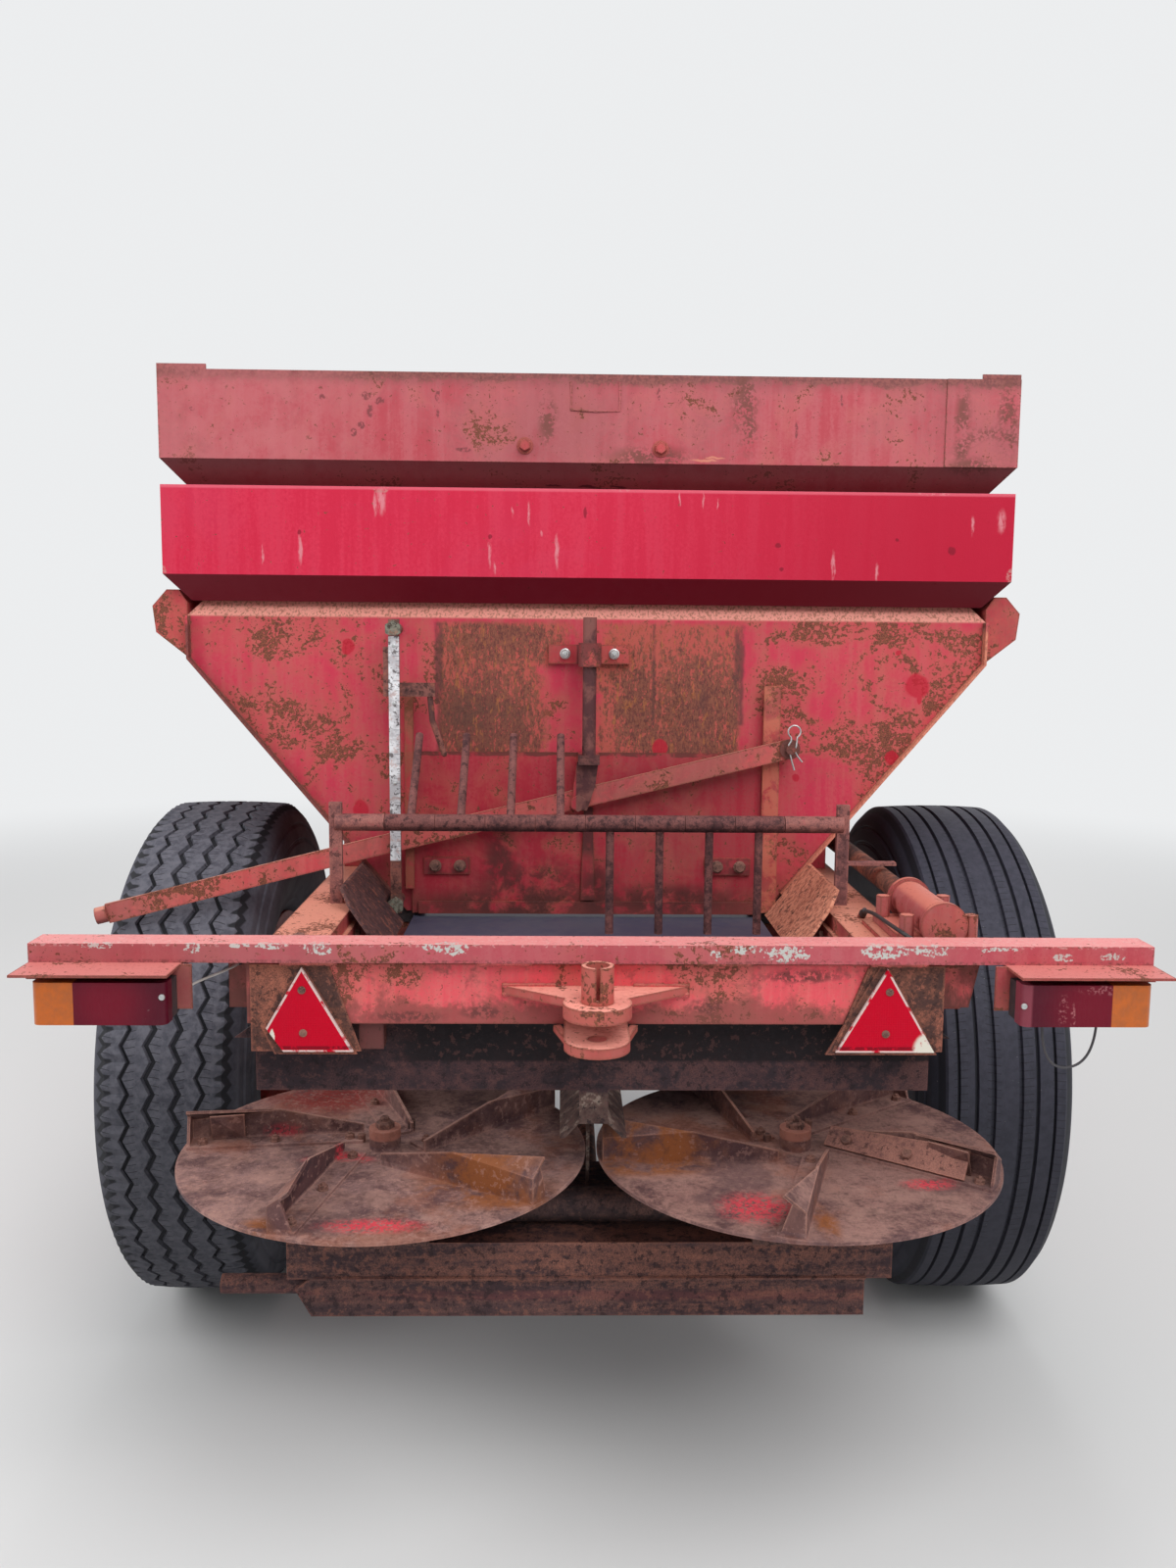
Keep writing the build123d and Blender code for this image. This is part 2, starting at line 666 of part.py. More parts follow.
def hopper():
    outer = hopper_half(0)
    inner = hopper_half(HOPPER_WALL)
    rear, front, wall = HOPPER_REAR, HOPPER_FRONT, HOPPER_WALL
    side = prism_y(outer + inner[::-1], (rear + wall, front - wall))
    reach = FOLD_INSET + 15
    mitre = prism_z(
        [(HOPPER_HALF, rear), (HOPPER_HALF - reach, rear), (HOPPER_HALF - reach, rear + reach)],
        (HOPPER_FOLD - 20, HOPPER_TOP + 10),
    )
    swap = Pos(0, front + rear, 0) * mirror(mitre, Plane.XZ)
    side = side - mitre - swap
    NODES["hopper_sides"] = both_sides(side)

    fold_up = HOPPER_TOP - HOPPER_FOLD
    lean = math.hypot(fold_up, FOLD_INSET)
    back = wall * lean / fold_up
    drop = wall * (lean - fold_up) / FOLD_INSET
    outline = [
        (rear, HOPPER_BOTTOM),
        (rear + wall, HOPPER_BOTTOM),
        (rear + wall, HOPPER_FOLD - drop),
        (rear + FOLD_INSET + back, HOPPER_TOP),
        (rear + FOLD_INSET, HOPPER_TOP),
        (rear, HOPPER_FOLD),
    ]
    full = [(HOPPER_BOTTOM_HALF, HOPPER_BOTTOM), (HOPPER_HALF, HOPPER_SHOULDER)]
    full += [(HOPPER_HALF, HOPPER_TOP + 5)]
    full += [(-x, z) for x, z in full[::-1]]
    wall_plate = prism_x(outline, (-HOPPER_HALF, HOPPER_HALF))
    wall_plate = wall_plate & prism_y(full, (rear - 10, rear + 60))
    for turn in (mitre, mirror(mitre, Plane.YZ)):
        outside = turn.bounding_box()
        corner = block(
            (outside.min.X, outside.max.X),
            (rear + 0.001, rear + reach),
            (HOPPER_FOLD - drop, HOPPER_TOP + 10),
        )
        wall_plate = wall_plate - (corner - turn)
    opening = block(
        (-GATE_OPENING_HALF, GATE_OPENING_HALF),
        (rear - 10, rear + 60),
        (HOPPER_BOTTOM - 10, GATE_OPENING_TOP),
    )
    edge = prism_y(outer[:3] + inner[2::-1], (rear - EDGE_PROUD, rear))
    edge &= block((0, HOPPER_HALF), (rear - EDGE_PROUD, rear), (EDGE_FOOT, HOPPER_FOLD - drop))
    wall_plate = wall_plate + edge + mirror(edge, Plane.YZ)
    NODES["hopper_rear"] = wall_plate - opening
    NODES["hopper_front"] = Pos(0, front + rear, 0) * mirror(wall_plate, Plane.XZ)

    rim = [
        (HOPPER_HALF, HOPPER_SHOULDER + 2),
        (HOPPER_HALF + RIM_OUT - 6, HOPPER_SHOULDER + 54),
        (HOPPER_HALF + RIM_OUT, HOPPER_TOP - 12),
        (HOPPER_HALF + RIM_OUT - 30, HOPPER_TOP + RIM_UP),
        (HOPPER_HALF + 17, HOPPER_TOP + RIM_UP),
        (HOPPER_HALF, HOPPER_TOP - 4),
    ]
    hollow = offset(Polygon(*rim, align=None), amount=-5, kind=Kind.INTERSECTION)
    tube = prism_y(rim, (rear, front))
    core = extrude(
        Plane.XZ.offset(-(front - RIM_PLATE)) * hollow,
        amount=front - rear - 2 * RIM_PLATE,
        dir=(0, -1, 0),
    )
    NODES["hopper_rims"] = both_sides(tube - core)

    slope = (HOPPER_SHOULDER - HOPPER_BOTTOM) / (HOPPER_HALF - HOPPER_BOTTOM_HALF)

    def wall_x(z):
        return HOPPER_BOTTOM_HALF + (z - HOPPER_BOTTOM) / slope

    low_x = wall_x(RAIL_TOP) + 14
    out_x = RAIL_INNER + BRACKET_OUT
    bracket = [
        (low_x, RAIL_TOP),
        (out_x, RAIL_TOP),
        (out_x, HOPPER_BOTTOM + (out_x - HOPPER_BOTTOM_HALF) * slope),
        (low_x, HOPPER_BOTTOM + (low_x - HOPPER_BOTTOM_HALF) * slope),
    ]
    rows = [prism_y(bracket, (y, y + BRACKET_THICK)) for y in BRACKET_Y]
    NODES["hopper_brackets"] = both_sides(group(*rows))


def extension(bottom, top):
    """One extension ring: its end boards and its side boards, mitred at the corners."""
    wall = EXT_WALL
    rear = HOPPER_REAR - EXT_BEVEL_IN
    front = HOPPER_FRONT + EXT_BEVEL_IN
    lean = math.hypot(EXT_BEVEL_IN, EXT_BEVEL_UP)
    # distance inwards from the board's outer face, and height
    section = [
        (EXT_BEVEL_IN + EXT_LIP, bottom),
        (EXT_BEVEL_IN, bottom),
        (0, bottom + EXT_BEVEL_UP),
        (0, top),
        (EXT_FLANGE, top),
        (EXT_FLANGE, top - wall),
        (wall, top - wall),
        (wall, bottom + EXT_BEVEL_UP + wall * (lean - EXT_BEVEL_UP) / EXT_BEVEL_IN),
        (EXT_BEVEL_IN + wall * (lean - EXT_BEVEL_IN) / EXT_BEVEL_UP, bottom + wall),
        (EXT_BEVEL_IN + EXT_LIP, bottom + wall),
    ]
    reach = EXT_BEVEL_IN + EXT_LIP + 25
    levels = (bottom - 1, top + 1)
    side_plan = [
        (EXT_HALF, rear),
        (EXT_HALF, front),
        (EXT_HALF - reach, front - reach),
        (EXT_HALF - reach, rear + reach),
    ]
    right = prism_y([(EXT_HALF - d, z) for d, z in section], (rear, front)) & prism_z(side_plan, levels)
    end_plan = [
        (-EXT_HALF, rear),
        (EXT_HALF, rear),
        (EXT_HALF - reach, rear + reach),
        (-EXT_HALF + reach, rear + reach),
    ]
    back = prism_x([(rear + d, z) for d, z in section], (-EXT_HALF, EXT_HALF)) & prism_z(end_plan, levels)
    ahead = Pos(0, front + rear, 0) * mirror(back, Plane.XZ)
    return group(back, ahead), both_sides(right)


def extensions():
    rings = (
        ("lower_boards", HOPPER_TOP, LOWER_EXT_TOP),
        ("upper_boards", LOWER_EXT_TOP, UPPER_EXT_TOP),
    )
    for name, bottom, top in rings:
        ends, sides = extension(bottom, top)
        NODES[name + "_ends"] = ends
        NODES[name + "_sides"] = sides
    rear = HOPPER_REAR - EXT_BEVEL_IN
    front = HOPPER_FRONT + EXT_BEVEL_IN
    foot = LOWER_EXT_TOP + EXT_BEVEL_UP
    ridge = (UPPER_EXT_TOP, UPPER_EXT_TOP + CORNER_LIP)
    back, ahead = NODES["upper_boards_ends"].solids().sort_by(Axis.Y)
    back += block((-EXT_HALF, CORNER_LEFT - EXT_HALF), (rear, rear + EXT_WALL), ridge)
    back += block((EXT_HALF - CORNER_RIGHT, EXT_HALF), (rear, rear + EXT_WALL), ridge)
    back += block((EXT_HALF - CORNER_PLATE, EXT_HALF), (rear - CORNER_THICK, rear), (foot, UPPER_EXT_TOP))
    for side in (-1, 1):
        ahead += block(
            (side * EXT_HALF - CORNER_LEFT * (side + 1) / 2, side * EXT_HALF + CORNER_LEFT * (1 - side) / 2),
            (front - EXT_WALL, front),
            ridge,
        )
    NODES["upper_boards_ends"] = group(back, ahead)


def gate():
    back = HOPPER_REAR - GATE_GAP
    face = back - GATE_THICK
    plate = block((-GATE_HALF, GATE_HALF), (face, back), (GATE_BOTTOM, GATE_TOP))
    fold = (GATE_BOTTOM, GATE_BOTTOM + GATE_FOLD)
    ridge = block((-GATE_HALF + 14, GATE_HALF - 14), (face - 8, face), fold)
    foot = fold[1] + 4
    high = foot + GATE_STRAP
    strap = prism_y([(-14, foot), (16, foot), (10, high), (-8, high)], (face - 8, face))
    wear = [
        block((x, x + WEAR_LENGTH), (face - 6, face), (WEAR_BOTTOM, WEAR_BOTTOM + WEAR_HEIGHT))
        for x in (WEAR_LEFT, WEAR_RIGHT)
    ]
    seat = block((-22, 22), (ROD_Y - ROD_RADIUS, face), (ROD_BOTTOM - 4, GATE_TOP))
    pin = rod((GATE_PIN_X, face, GATE_PIN_Z), (GATE_PIN_X, FORK_Y, GATE_PIN_Z), GATE_PIN_RADIUS)
    nut = hexagon_bolt((GATE_PIN_X, FORK_Y, GATE_PIN_Z), (0, -1, 0), 30, 12)
    leg = prism_y(
        [
            (-24, ROD_BOTTOM),
            (20, ROD_BOTTOM),
            (14, ROD_BOTTOM - 50),
            (GATE_PIN_X + 18, GATE_PIN_Z - 16),
            (GATE_PIN_X - 16, GATE_PIN_Z - 16),
            (GATE_PIN_X - 10, ROD_BOTTOM - 50),
        ],
        (FORK_Y, FORK_Y + FORK_THICK),
    )
    stem = rod((0, ROD_Y, GATE_TOP), (0, ROD_Y, ROD_TOP), ROD_RADIUS)
    NODES["gate"] = plate + ridge + strap + wear[0] + wear[1] + seat + stem + pin + nut + leg

    lip = face - GATE_GAP
    front = lip - GUIDE_LIP
    right_z, left_z = (GUIDE_FOOT, GUIDE_TOP), (GUIDE_LEFT_FOOT, GUIDE_TOP)
    right = block((GATE_HALF + 6, GUIDE_OUTER), (lip, HOPPER_REAR), right_z)
    right += block((GATE_HALF - 5, GUIDE_OUTER), (front, lip), right_z)
    left = block((-GUIDE_LEFT, -GATE_HALF - 6), (lip, HOPPER_REAR), left_z)
    left += block((-GUIDE_LEFT, 6 - GATE_HALF), (front, lip), left_z)
    pivot = rod(
        (LEVER_PIVOT_X, HOPPER_REAR, LEVER_PIVOT_Z),
        (LEVER_PIVOT_X, LEVER_FRONT + 2, LEVER_PIVOT_Z),
        PIVOT_BOSS,
    )
    pivot += rod(
        (LEVER_PIVOT_X, HOPPER_REAR, LEVER_PIVOT_Z),
        (LEVER_PIVOT_X, LEVER_FRONT - LEVER_THICK - 18, LEVER_PIVOT_Z),
        PIVOT_RADIUS,
    )
    pivot += rod(
        (LEVER_PIVOT_X, LEVER_FRONT - LEVER_THICK - 2, LEVER_PIVOT_Z),
        (LEVER_PIVOT_X, LEVER_FRONT - LEVER_THICK - 5, LEVER_PIVOT_Z),
        PIVOT_WASHER,
    )
    plate_y = (HOPPER_REAR - ROD_PLATE_THICK, HOPPER_REAR)
    low, high = GUIDE_Z - ROD_COLLAR_HEIGHT / 2, GUIDE_Z + ROD_COLLAR_HEIGHT / 2
    guide = block((-ROD_PLATE, ROD_PLATE), plate_y, (GUIDE_Z - 20, GUIDE_Z + 20))
    guide += block((-14, 14), (ROD_Y, HOPPER_REAR), (GUIDE_Z - 18, GUIDE_Z + 18))
    guide += rod((0, ROD_Y, low), (0, ROD_Y, high), ROD_COLLAR)
    guide -= rod((0, ROD_Y, low - 5), (0, ROD_Y, high + 5), ROD_RADIUS + RUNNING)
    NODES["gate_guides"] = group(right, pivot, left, guide)


def lever():
    """Flat bar on its pivot, bent to the rear past the hopper, with a rounded grip."""
    middle = LEVER_FRONT - LEVER_THICK / 2
    half = LEVER_WIDTH / 2

    def at(x):
        return (x, middle, LEVER_PIVOT_Z - (LEVER_PIVOT_X - x) * LEVER_DROP)

    pivot = at(LEVER_PIVOT_X)
    bend = at(LEVER_BEND_X)
    # the tail passes behind the tyre, which it is nearest to over the tyre's inner edge
    edge_x = TYRE_WIDTH / 2 - WHEEL_X
    share = (edge_x - LEVER_BEND_X) / (LEVER_TIP_X - LEVER_BEND_X)
    edge_z = bend[2] + (LEVER_TIP_Z - bend[2]) * share - TYRE_RADIUS
    edge_y = min(middle - LEVER_SWEEP, -math.sqrt((TYRE_RADIUS + LEVER_CLEAR) ** 2 - edge_z**2))
    tip = (LEVER_TIP_X, middle + (edge_y - middle) / share, LEVER_TIP_Z)
    arm = flat(bend, pivot, LEVER_WIDTH, LEVER_THICK, (0, 1, 0))
    run = Vector(*tip) - Vector(*bend)
    across = Vector(0, 0, 1).cross(run)
    tail = flat(bend, tip, LEVER_WIDTH, LEVER_THICK, tuple(across))
    back, front = LEVER_FRONT - LEVER_THICK, LEVER_FRONT
    eye = rod((pivot[0], front, pivot[2]), (pivot[0], back, pivot[2]), half)
    elbow = rod((bend[0], middle, bend[2] - half + 2), (bend[0], middle, bend[2] + half - 2), LEVER_THICK / 2)
    body = arm + tail + eye + elbow
    body -= rod((pivot[0], front + 50, pivot[2]), (pivot[0], back - 50, pivot[2]), PIVOT_RADIUS + RUNNING)
    # the pin of the gate rides in a slot along the line from the pivot through the pin
    reach, fall = LEVER_PIVOT_X - GATE_PIN_X, LEVER_PIVOT_Z - GATE_PIN_Z
    far = math.hypot(reach, fall)
    slot = extrude(
        Plane.XZ.offset(-front - 50) * SlotCenterToCenter(far - reach + 6, 2 * (GATE_PIN_RADIUS + SLOT_PLAY)),
        amount=LEVER_THICK + 100,
        dir=(0, -1, 0),
    )
    turn = math.degrees(math.atan2(fall, reach))
    slot = Pos(-(far + reach) / 2, 0, 0) * slot
    slot = Pos(LEVER_PIVOT_X, 0, LEVER_PIVOT_Z) * Rot(0, -turn, 0) * slot
    grip_end = Vector(*tip) + run.normalized() * GRIP_LENGTH
    NODES["lever"] = body - slot + rod(tip, tuple(grip_end), GRIP_RADIUS)


def scale():
    """Bar with a stud at each end, and behind it the clamp with its pointer."""
    half = SCALE_WIDTH / 2
    back, face = SCALE_Y + SCALE_THICK / 2, SCALE_Y - SCALE_THICK / 2
    bar = block((SCALE_X - half, SCALE_X + half), (face, back), (SCALE_BOTTOM, SCALE_TOP))
    for z in (SCALE_BOTTOM + 18, SCALE_TOP - 20):
        bar += rod((SCALE_X, HOPPER_REAR, z), (SCALE_X, back, z), SCALE_STUD)
        bar += hexagon_bolt((SCALE_X, face, z), (0, -1, 0), SCALE_HEAD, 16)
    depth = (back, back + 14)
    clamp = block((SCALE_X - half, SCALE_X + CLAMP_RIGHT), depth, (CLAMP_BOTTOM, CLAMP_TOP))
    clamp += block((SCALE_X - half - 11, SCALE_X - half), (face, back + 14), (CLAMP_BOTTOM, CLAMP_PLATE_TOP))
    corners = [(SCALE_X + x, back + 7, CLAMP_BOTTOM + 6 + z) for x, z in POINTER]
    for start, end in zip(corners, corners[1:]):
        clamp += rod(start, end, POINTER_RADIUS)
        clamp += Pos(*end) * Sphere(POINTER_RADIUS)
    NODES["scale_bar"] = bar + clamp


def guard():
    rail = rod((-POST_X, GUARD_Y, GUARD_Z), (POST_X, GUARD_Y, GUARD_Z), GUARD_RADIUS)
    first = FINGER_FIRST - FINGER_PITCH / 2
    last = first + FINGER_COUNT * FINGER_PITCH
    for ends in ((-POST_X, first - SLEEVE_GAP), (last + SLEEVE_GAP, POST_X)):
        rail += rod((ends[0], GUARD_Y, GUARD_Z), (ends[1], GUARD_Y, GUARD_Z), SLEEVE_RADIUS)
    for x in (-POST_X, POST_X):
        rail += block(
            (x - POST_WIDTH / 2, x + POST_WIDTH / 2),
            (GUARD_Y - POST_DEPTH / 2, GUARD_Y + POST_DEPTH / 2),
            (RAIL_TOP, POST_TOP),
        )
    side = POST_X + POST_WIDTH / 2
    tab_y = (GUARD_Y - POST_DEPTH / 2, GUARD_Y + POST_DEPTH)
    rail += block((side, side + POST_TAB), tab_y, (POST_TAB_Z, POST_TAB_Z + 6))
    NODES["guard_rail"] = rail
    fingers = []
    bore = GUARD_RADIUS + FIT
    for i in range(FINGER_COUNT):
        x = FINGER_FIRST + i * FINGER_PITCH
        half = (FINGER_PITCH - SLEEVE_GAP) / 2
        sleeve = rod((x - half, GUARD_Y, GUARD_Z), (x + half, GUARD_Y, GUARD_Z), SLEEVE_RADIUS)
        if i < FINGERS_UP:
            end = (x, FINGER_UP_Y, FINGER_UP_Z)
        else:
            end = (x, GUARD_Y, FINGER_DOWN_Z)
        finger = sleeve + rod((x, GUARD_Y, GUARD_Z), end, FINGER_RADIUS)
        finger -= rod((x - half - 5, GUARD_Y, GUARD_Z), (x + half + 5, GUARD_Y, GUARD_Z), bore)
        fingers.append(finger)
    NODES["guard_fingers"] = group(*fingers)


def belt():
    centre = BELT_TOP - BELT_THICK - ROLLER_RADIUS
    inside = ROLLER_RADIUS + FIT
    length = ROLLER_FRONT - ROLLER_REAR
    middle = (ROLLER_FRONT + ROLLER_REAR) / 2
    loop = SlotCenterToCenter(length, 2 * (inside + BELT_THICK)) - SlotCenterToCenter(length, 2 * inside)
    band = extrude(
        Plane.YZ.offset(-BELT_HALF) * Pos(middle, centre - FIT) * loop,
        amount=2 * BELT_HALF,
        dir=(1, 0, 0),
    )
    NODES["belt"] = band
    rollers, plates = [], []
    for y in (ROLLER_REAR, ROLLER_FRONT):
        z = centre - FIT
        roller = rod((4 - BELT_HALF, y, z), (BELT_HALF - 4, y, z), ROLLER_RADIUS)
        shaft_end = RAIL_INNER - 10
        rollers.append(roller + rod((-shaft_end, y, z), (shaft_end, y, z), ROLLER_SHAFT))
        plate = block((shaft_end, RAIL_INNER), (y - PLATE_HALF, y + PLATE_HALF), (z - PLATE_UNDER, PLATE_TOP))
        plates.append(both_sides(plate))
    NODES["belt_rollers"] = group(*rollers)
    NODES["roller_plates"] = group(*plates)
    top = BELT_TOP - BELT_THICK - FIT
    tubes = []
    for y in CROSS_TUBE_Y:
        tube = block((-RAIL_OUTER, RAIL_OUTER), (y, y + CROSS_TUBE), (RAIL_BOTTOM - CROSS_TUBE, RAIL_BOTTOM))
        tube += block((-BELT_HALF, BELT_HALF), (y, y + CROSS_TUBE), (RAIL_BOTTOM, top))
        tubes.append(tube)
    NODES["belt_cross_tubes"] = group(*tubes)


def chute():
    """Plates that carry the hopper's slope on past the gate, down to the belt's edge."""
    slope = (HOPPER_SHOULDER - HOPPER_BOTTOM) / (HOPPER_HALF - HOPPER_BOTTOM_HALF)
    top_x = HOPPER_BOTTOM_HALF + (CHUTE_TOP + 20 - HOPPER_BOTTOM) / slope
    inwards = CHUTE_THICK * math.hypot(1, slope) / slope
    strip = [
        (HOPPER_BOTTOM_HALF, HOPPER_BOTTOM),
        (top_x, CHUTE_TOP + 20),
        (top_x - inwards, CHUTE_TOP + 20),
        (HOPPER_BOTTOM_HALF - inwards, HOPPER_BOTTOM),
    ]
    meets = HOPPER_REAR - EDGE_PROUD
    outline = [(CHUTE_FRONT, HOPPER_BOTTOM), (CHUTE_FRONT, EDGE_FOOT), (meets, EDGE_FOOT), (meets, CHUTE_TOP)]
    plate = prism_y(strip, (CHUTE_REAR[-1][0], meets)) & prism_x(outline + list(CHUTE_REAR), (0, top_x))
    # room for the lower stud of the scale
    half = SCALE_HEAD / 2 + 4
    notch = block((SCALE_X - half, 0), (SCALE_Y - 30, meets), (HOPPER_BOTTOM, SCALE_BOTTOM + 18 + SCALE_HEAD))
    NODES["chute_plates"] = group(plate, mirror(plate, Plane.YZ) - notch)


def vane():
    """One vane beside +X from its disc's centre: web, and to its left a foot, a lip and a closed end."""
    inner, thick, height = VANE_INNER, VANE_THICK, VANE_HEIGHT
    outer = math.sqrt((DISC_RADIUS - 4) ** 2 - VANE_OFFSET**2)
    web = prism_y(
        [(inner, 0), (outer, 0), (outer, VANE_OUTER_HEIGHT), (VANE_FOLD, height), (inner, VANE_INNER_HEIGHT)],
        (-thick, 0),
    )
    foot = block((inner, outer), (-thick, VANE_FOOT), (0, thick))
    fold, end = Vector(VANE_FOLD, -thick, height), Vector(outer, -thick, VANE_OUTER_HEIGHT)
    tip = Vector(outer, VANE_LIP, VANE_LIP_HEIGHT)
    across = (end - fold).cross(tip - fold)
    lip = extrude(Face(Wire.make_polygon([fold, end, tip])), amount=-thick, dir=across)
    corners = [(0, 0), (VANE_FOOT - 4, 0), (VANE_LIP * 0.6, height), (0, VANE_OUTER_HEIGHT)]
    close = prism_x(corners, (outer - thick, outer))
    return Pos(0, -VANE_OFFSET, 0) * (web + foot + lip + close)


def spinner():
    # side, centre, hand, and the turn of the first vane in degrees from +X, as the discs stand
    discs = (
        ("left", -DISC_X, 1, 186),
        ("right", DISC_X, -1, 179.7),
    )
    for name, x, hand, first in discs:
        plate = Pos(x, DISC_Y, DISC_Z + DISC_THICK / 2) * Cylinder(DISC_RADIUS, DISC_THICK)
        hub = rod((x, DISC_Y, DISC_Z), (x, DISC_Y, DISC_HUB_TOP), DISC_HUB)
        neck = rod((x, DISC_Y, GEARBOX_TOP + 6), (x, DISC_Y, DISC_Z), 45)
        shaft = rod((x, DISC_Y, SPIN_TOP + 12), (x, DISC_Y, DISC_Z), DISC_SHAFT)
        disc = plate + hub + neck + shaft
        blade = vane() if hand > 0 else mirror(vane(), Plane.XZ)
        for i in range(VANES):
            disc += Pos(x, DISC_Y, DISC_Z + DISC_THICK) * Rot(0, 0, first + i * 360 / VANES) * blade
        NODES[name + "_disc"] = disc
    boxes = []
    for x in (-DISC_X, DISC_X):
        case = block(
            (x - GEARBOX_HALF, x + GEARBOX_HALF),
            (DISC_Y - GEARBOX_HALF, DISC_Y + GEARBOX_HALF),
            (SPIN_TOP, GEARBOX_TOP),
        )
        bore = rod((x, DISC_Y, SPIN_TOP + 10), (x, DISC_Y, GEARBOX_TOP + 5), DISC_SHAFT + RUNNING)
        boxes.append(case - bore)
    span = DISC_X - GEARBOX_HALF
    tube = rod((-span, DISC_Y, SPIN_TOP + 36), (span, DISC_Y, SPIN_TOP + 36), 30)
    NODES["gearboxes"] = boxes[0] + boxes[1] + tube

    wall = SPIN_WALL
    upper = block((-SPIN_UPPER_HALF, SPIN_UPPER_HALF), (SPIN_REAR, SPIN_FRONT), (SPIN_STEP, SPIN_TOP))
    upper -= block(
        (-SPIN_UPPER_HALF, SPIN_UPPER_HALF),
        (SPIN_REAR + wall, SPIN_FRONT - wall),
        (SPIN_STEP + wall, SPIN_TOP - wall),
    )
    trough_y = (SPIN_REAR + wall, SPIN_REAR + TROUGH_DEPTH)
    trough = block((-SPIN_LOWER_HALF, SPIN_LOWER_HALF), trough_y, (SPIN_BOTTOM, SPIN_STEP))
    trough -= block(
        (-SPIN_LOWER_HALF, SPIN_LOWER_HALF),
        (SPIN_REAR + 2 * wall, SPIN_REAR + TROUGH_DEPTH),
        (SPIN_BOTTOM + wall, SPIN_STEP - wall),
    )
    x = (HANGER_X, HANGER_X + HANGER_THICK)
    upright = block(x, (HANGER_REAR, HANGER_FRONT), (SPIN_STEP, RAIL_BOTTOM))
    arm = block((HANGER_X - 40, HANGER_X + HANGER_THICK), (SPIN_FRONT, HANGER_FRONT), (SPIN_STEP, SPIN_TOP))
    NODES["spinner_hangers"] = both_sides(upright + arm)
    end = -SPIN_LOWER_HALF
    trough += block((end - wall, end), trough_y, (SPIN_BOTTOM, SPIN_STEP))
    pipe_z = SPIN_STEP - PIPE_DROP
    pipe = rod((PIPE_OUT, SPIN_REAR + 30, pipe_z), (end, SPIN_REAR + 30, pipe_z), PIPE_RADIUS)
    gusset = prism_y(
        [(end - wall, SPIN_STEP), (end - 34, pipe_z), (end - wall, SPIN_BOTTOM)],
        (SPIN_REAR + 6, SPIN_REAR + 14),
    )
    NODES["spinner_beam"] = upper + trough + pipe + gusset


def lights():
    top = BAR_BOTTOM + BAR_HEIGHT
    outer = block((-BAR_HALF, BAR_HALF), (BAR_REAR, BAR_REAR + BAR_DEPTH), (BAR_BOTTOM, top))
    wall = 4
    inner = block(
        (-BAR_HALF, BAR_HALF),
        (BAR_REAR + wall, BAR_REAR + BAR_DEPTH - wall),
        (BAR_BOTTOM + wall, top - wall),
    )
    bar = outer - inner
    for x in BAR_TABS:
        bar += block((x, x + BAR_TAB), (REAR_FACE, REAR_FACE + 36), (RAIL_TOP, BAR_BOTTOM))
    NODES["light_bar"] = bar
    lens_back = LAMP_REAR + LENS_DEPTH
    split = LAMP_OUTER - LAMP_AMBER
    z = (LAMP_BOTTOM, LAMP_TOP)
    tail = block((LAMP_INNER, split), (LAMP_REAR, lens_back), z)
    amber = block((split, LAMP_OUTER), (LAMP_REAR, lens_back), z)
    rear_edges = tail.faces().sort_by(Axis.Y)[0].edges().filter_by(Axis.Z).sort_by(Axis.X)
    tail = fillet(rear_edges[0], LENS_ROUND)
    rear_edges = amber.faces().sort_by(Axis.Y)[0].edges().filter_by(Axis.Z).sort_by(Axis.X)
    amber = fillet(rear_edges[-1], LENS_ROUND)
    NODES["tail_lenses"] = both_sides(tail)
    NODES["indicator_lenses"] = both_sides(amber)
    back = lens_back + HOUSING_DEPTH
    case = block((LAMP_INNER, LAMP_OUTER), (lens_back, back), (LAMP_BOTTOM + 3, LAMP_TOP - 3))
    NODES["lamp_housings"] = both_sides(case)
    roof = block((HOOD_INNER, BAR_HALF), (HOOD_EDGE, BAR_REAR + 12), (BAR_BOTTOM - HOOD_THICK, BAR_BOTTOM))
    straps = (HOOD_INNER - 18, LAMP_OUTER - LAMP_STRAP)
    roof += block((straps[0], BAR_HALF), (back, back + 4), (BAR_BOTTOM - 24, BAR_BOTTOM))
    for x in straps:
        roof += block((x, x + LAMP_STRAP + 2), (back, back + 4), (LAMP_BOTTOM + 9, BAR_BOTTOM))
    NODES["lamp_hoods"] = both_sides(roof)
    NODES["left_lamp_wire"] = cord(LEFT_WIRE_ROUTE, WIRE)
    NODES["right_lamp_wire"] = cord(RIGHT_WIRE_ROUTE, WIRE)


def reflectors():
    tall = REFLECTOR_TOP - REFLECTOR_BASE
    margin = BACKING_MARGIN
    plates, triangles = [], []
    for side in (-1, 1):
        x = side * REFLECTOR_X
        back = [
            (x - REFLECTOR_HALF - 1.7 * margin, REFLECTOR_BASE - margin * 0.6),
            (x + REFLECTOR_HALF + 0.6 * margin, REFLECTOR_BASE - margin * 0.6),
            (x + 2, REFLECTOR_TOP + margin * 0.2),
            (x - 12, REFLECTOR_TOP + margin * 0.2),
        ]
        half = REFLECTOR_HALF
        face = [(x - half, REFLECTOR_BASE), (x + half, REFLECTOR_BASE), (x, REFLECTOR_TOP)]
        if side < 0:
            # the outer lower corner is broken off
            face = [(x - 31, REFLECTOR_BASE), face[1], face[2], (x - 58, REFLECTOR_BASE + tall * 0.28)]
            back[0] = (x - 46, REFLECTOR_BASE - margin * 0.6)
            back.append((x - 68, REFLECTOR_BASE + tall * 0.3))
        behind = REAR_FACE - BACKING_THICK
        plates.append(prism_y(back, (behind, REAR_FACE)))
        triangles.append(prism_y(face, (behind - REFLECTOR_THICK, behind)))
    NODES["reflector_plates"] = group(*plates)
    NODES["reflector_triangles"] = group(*triangles)


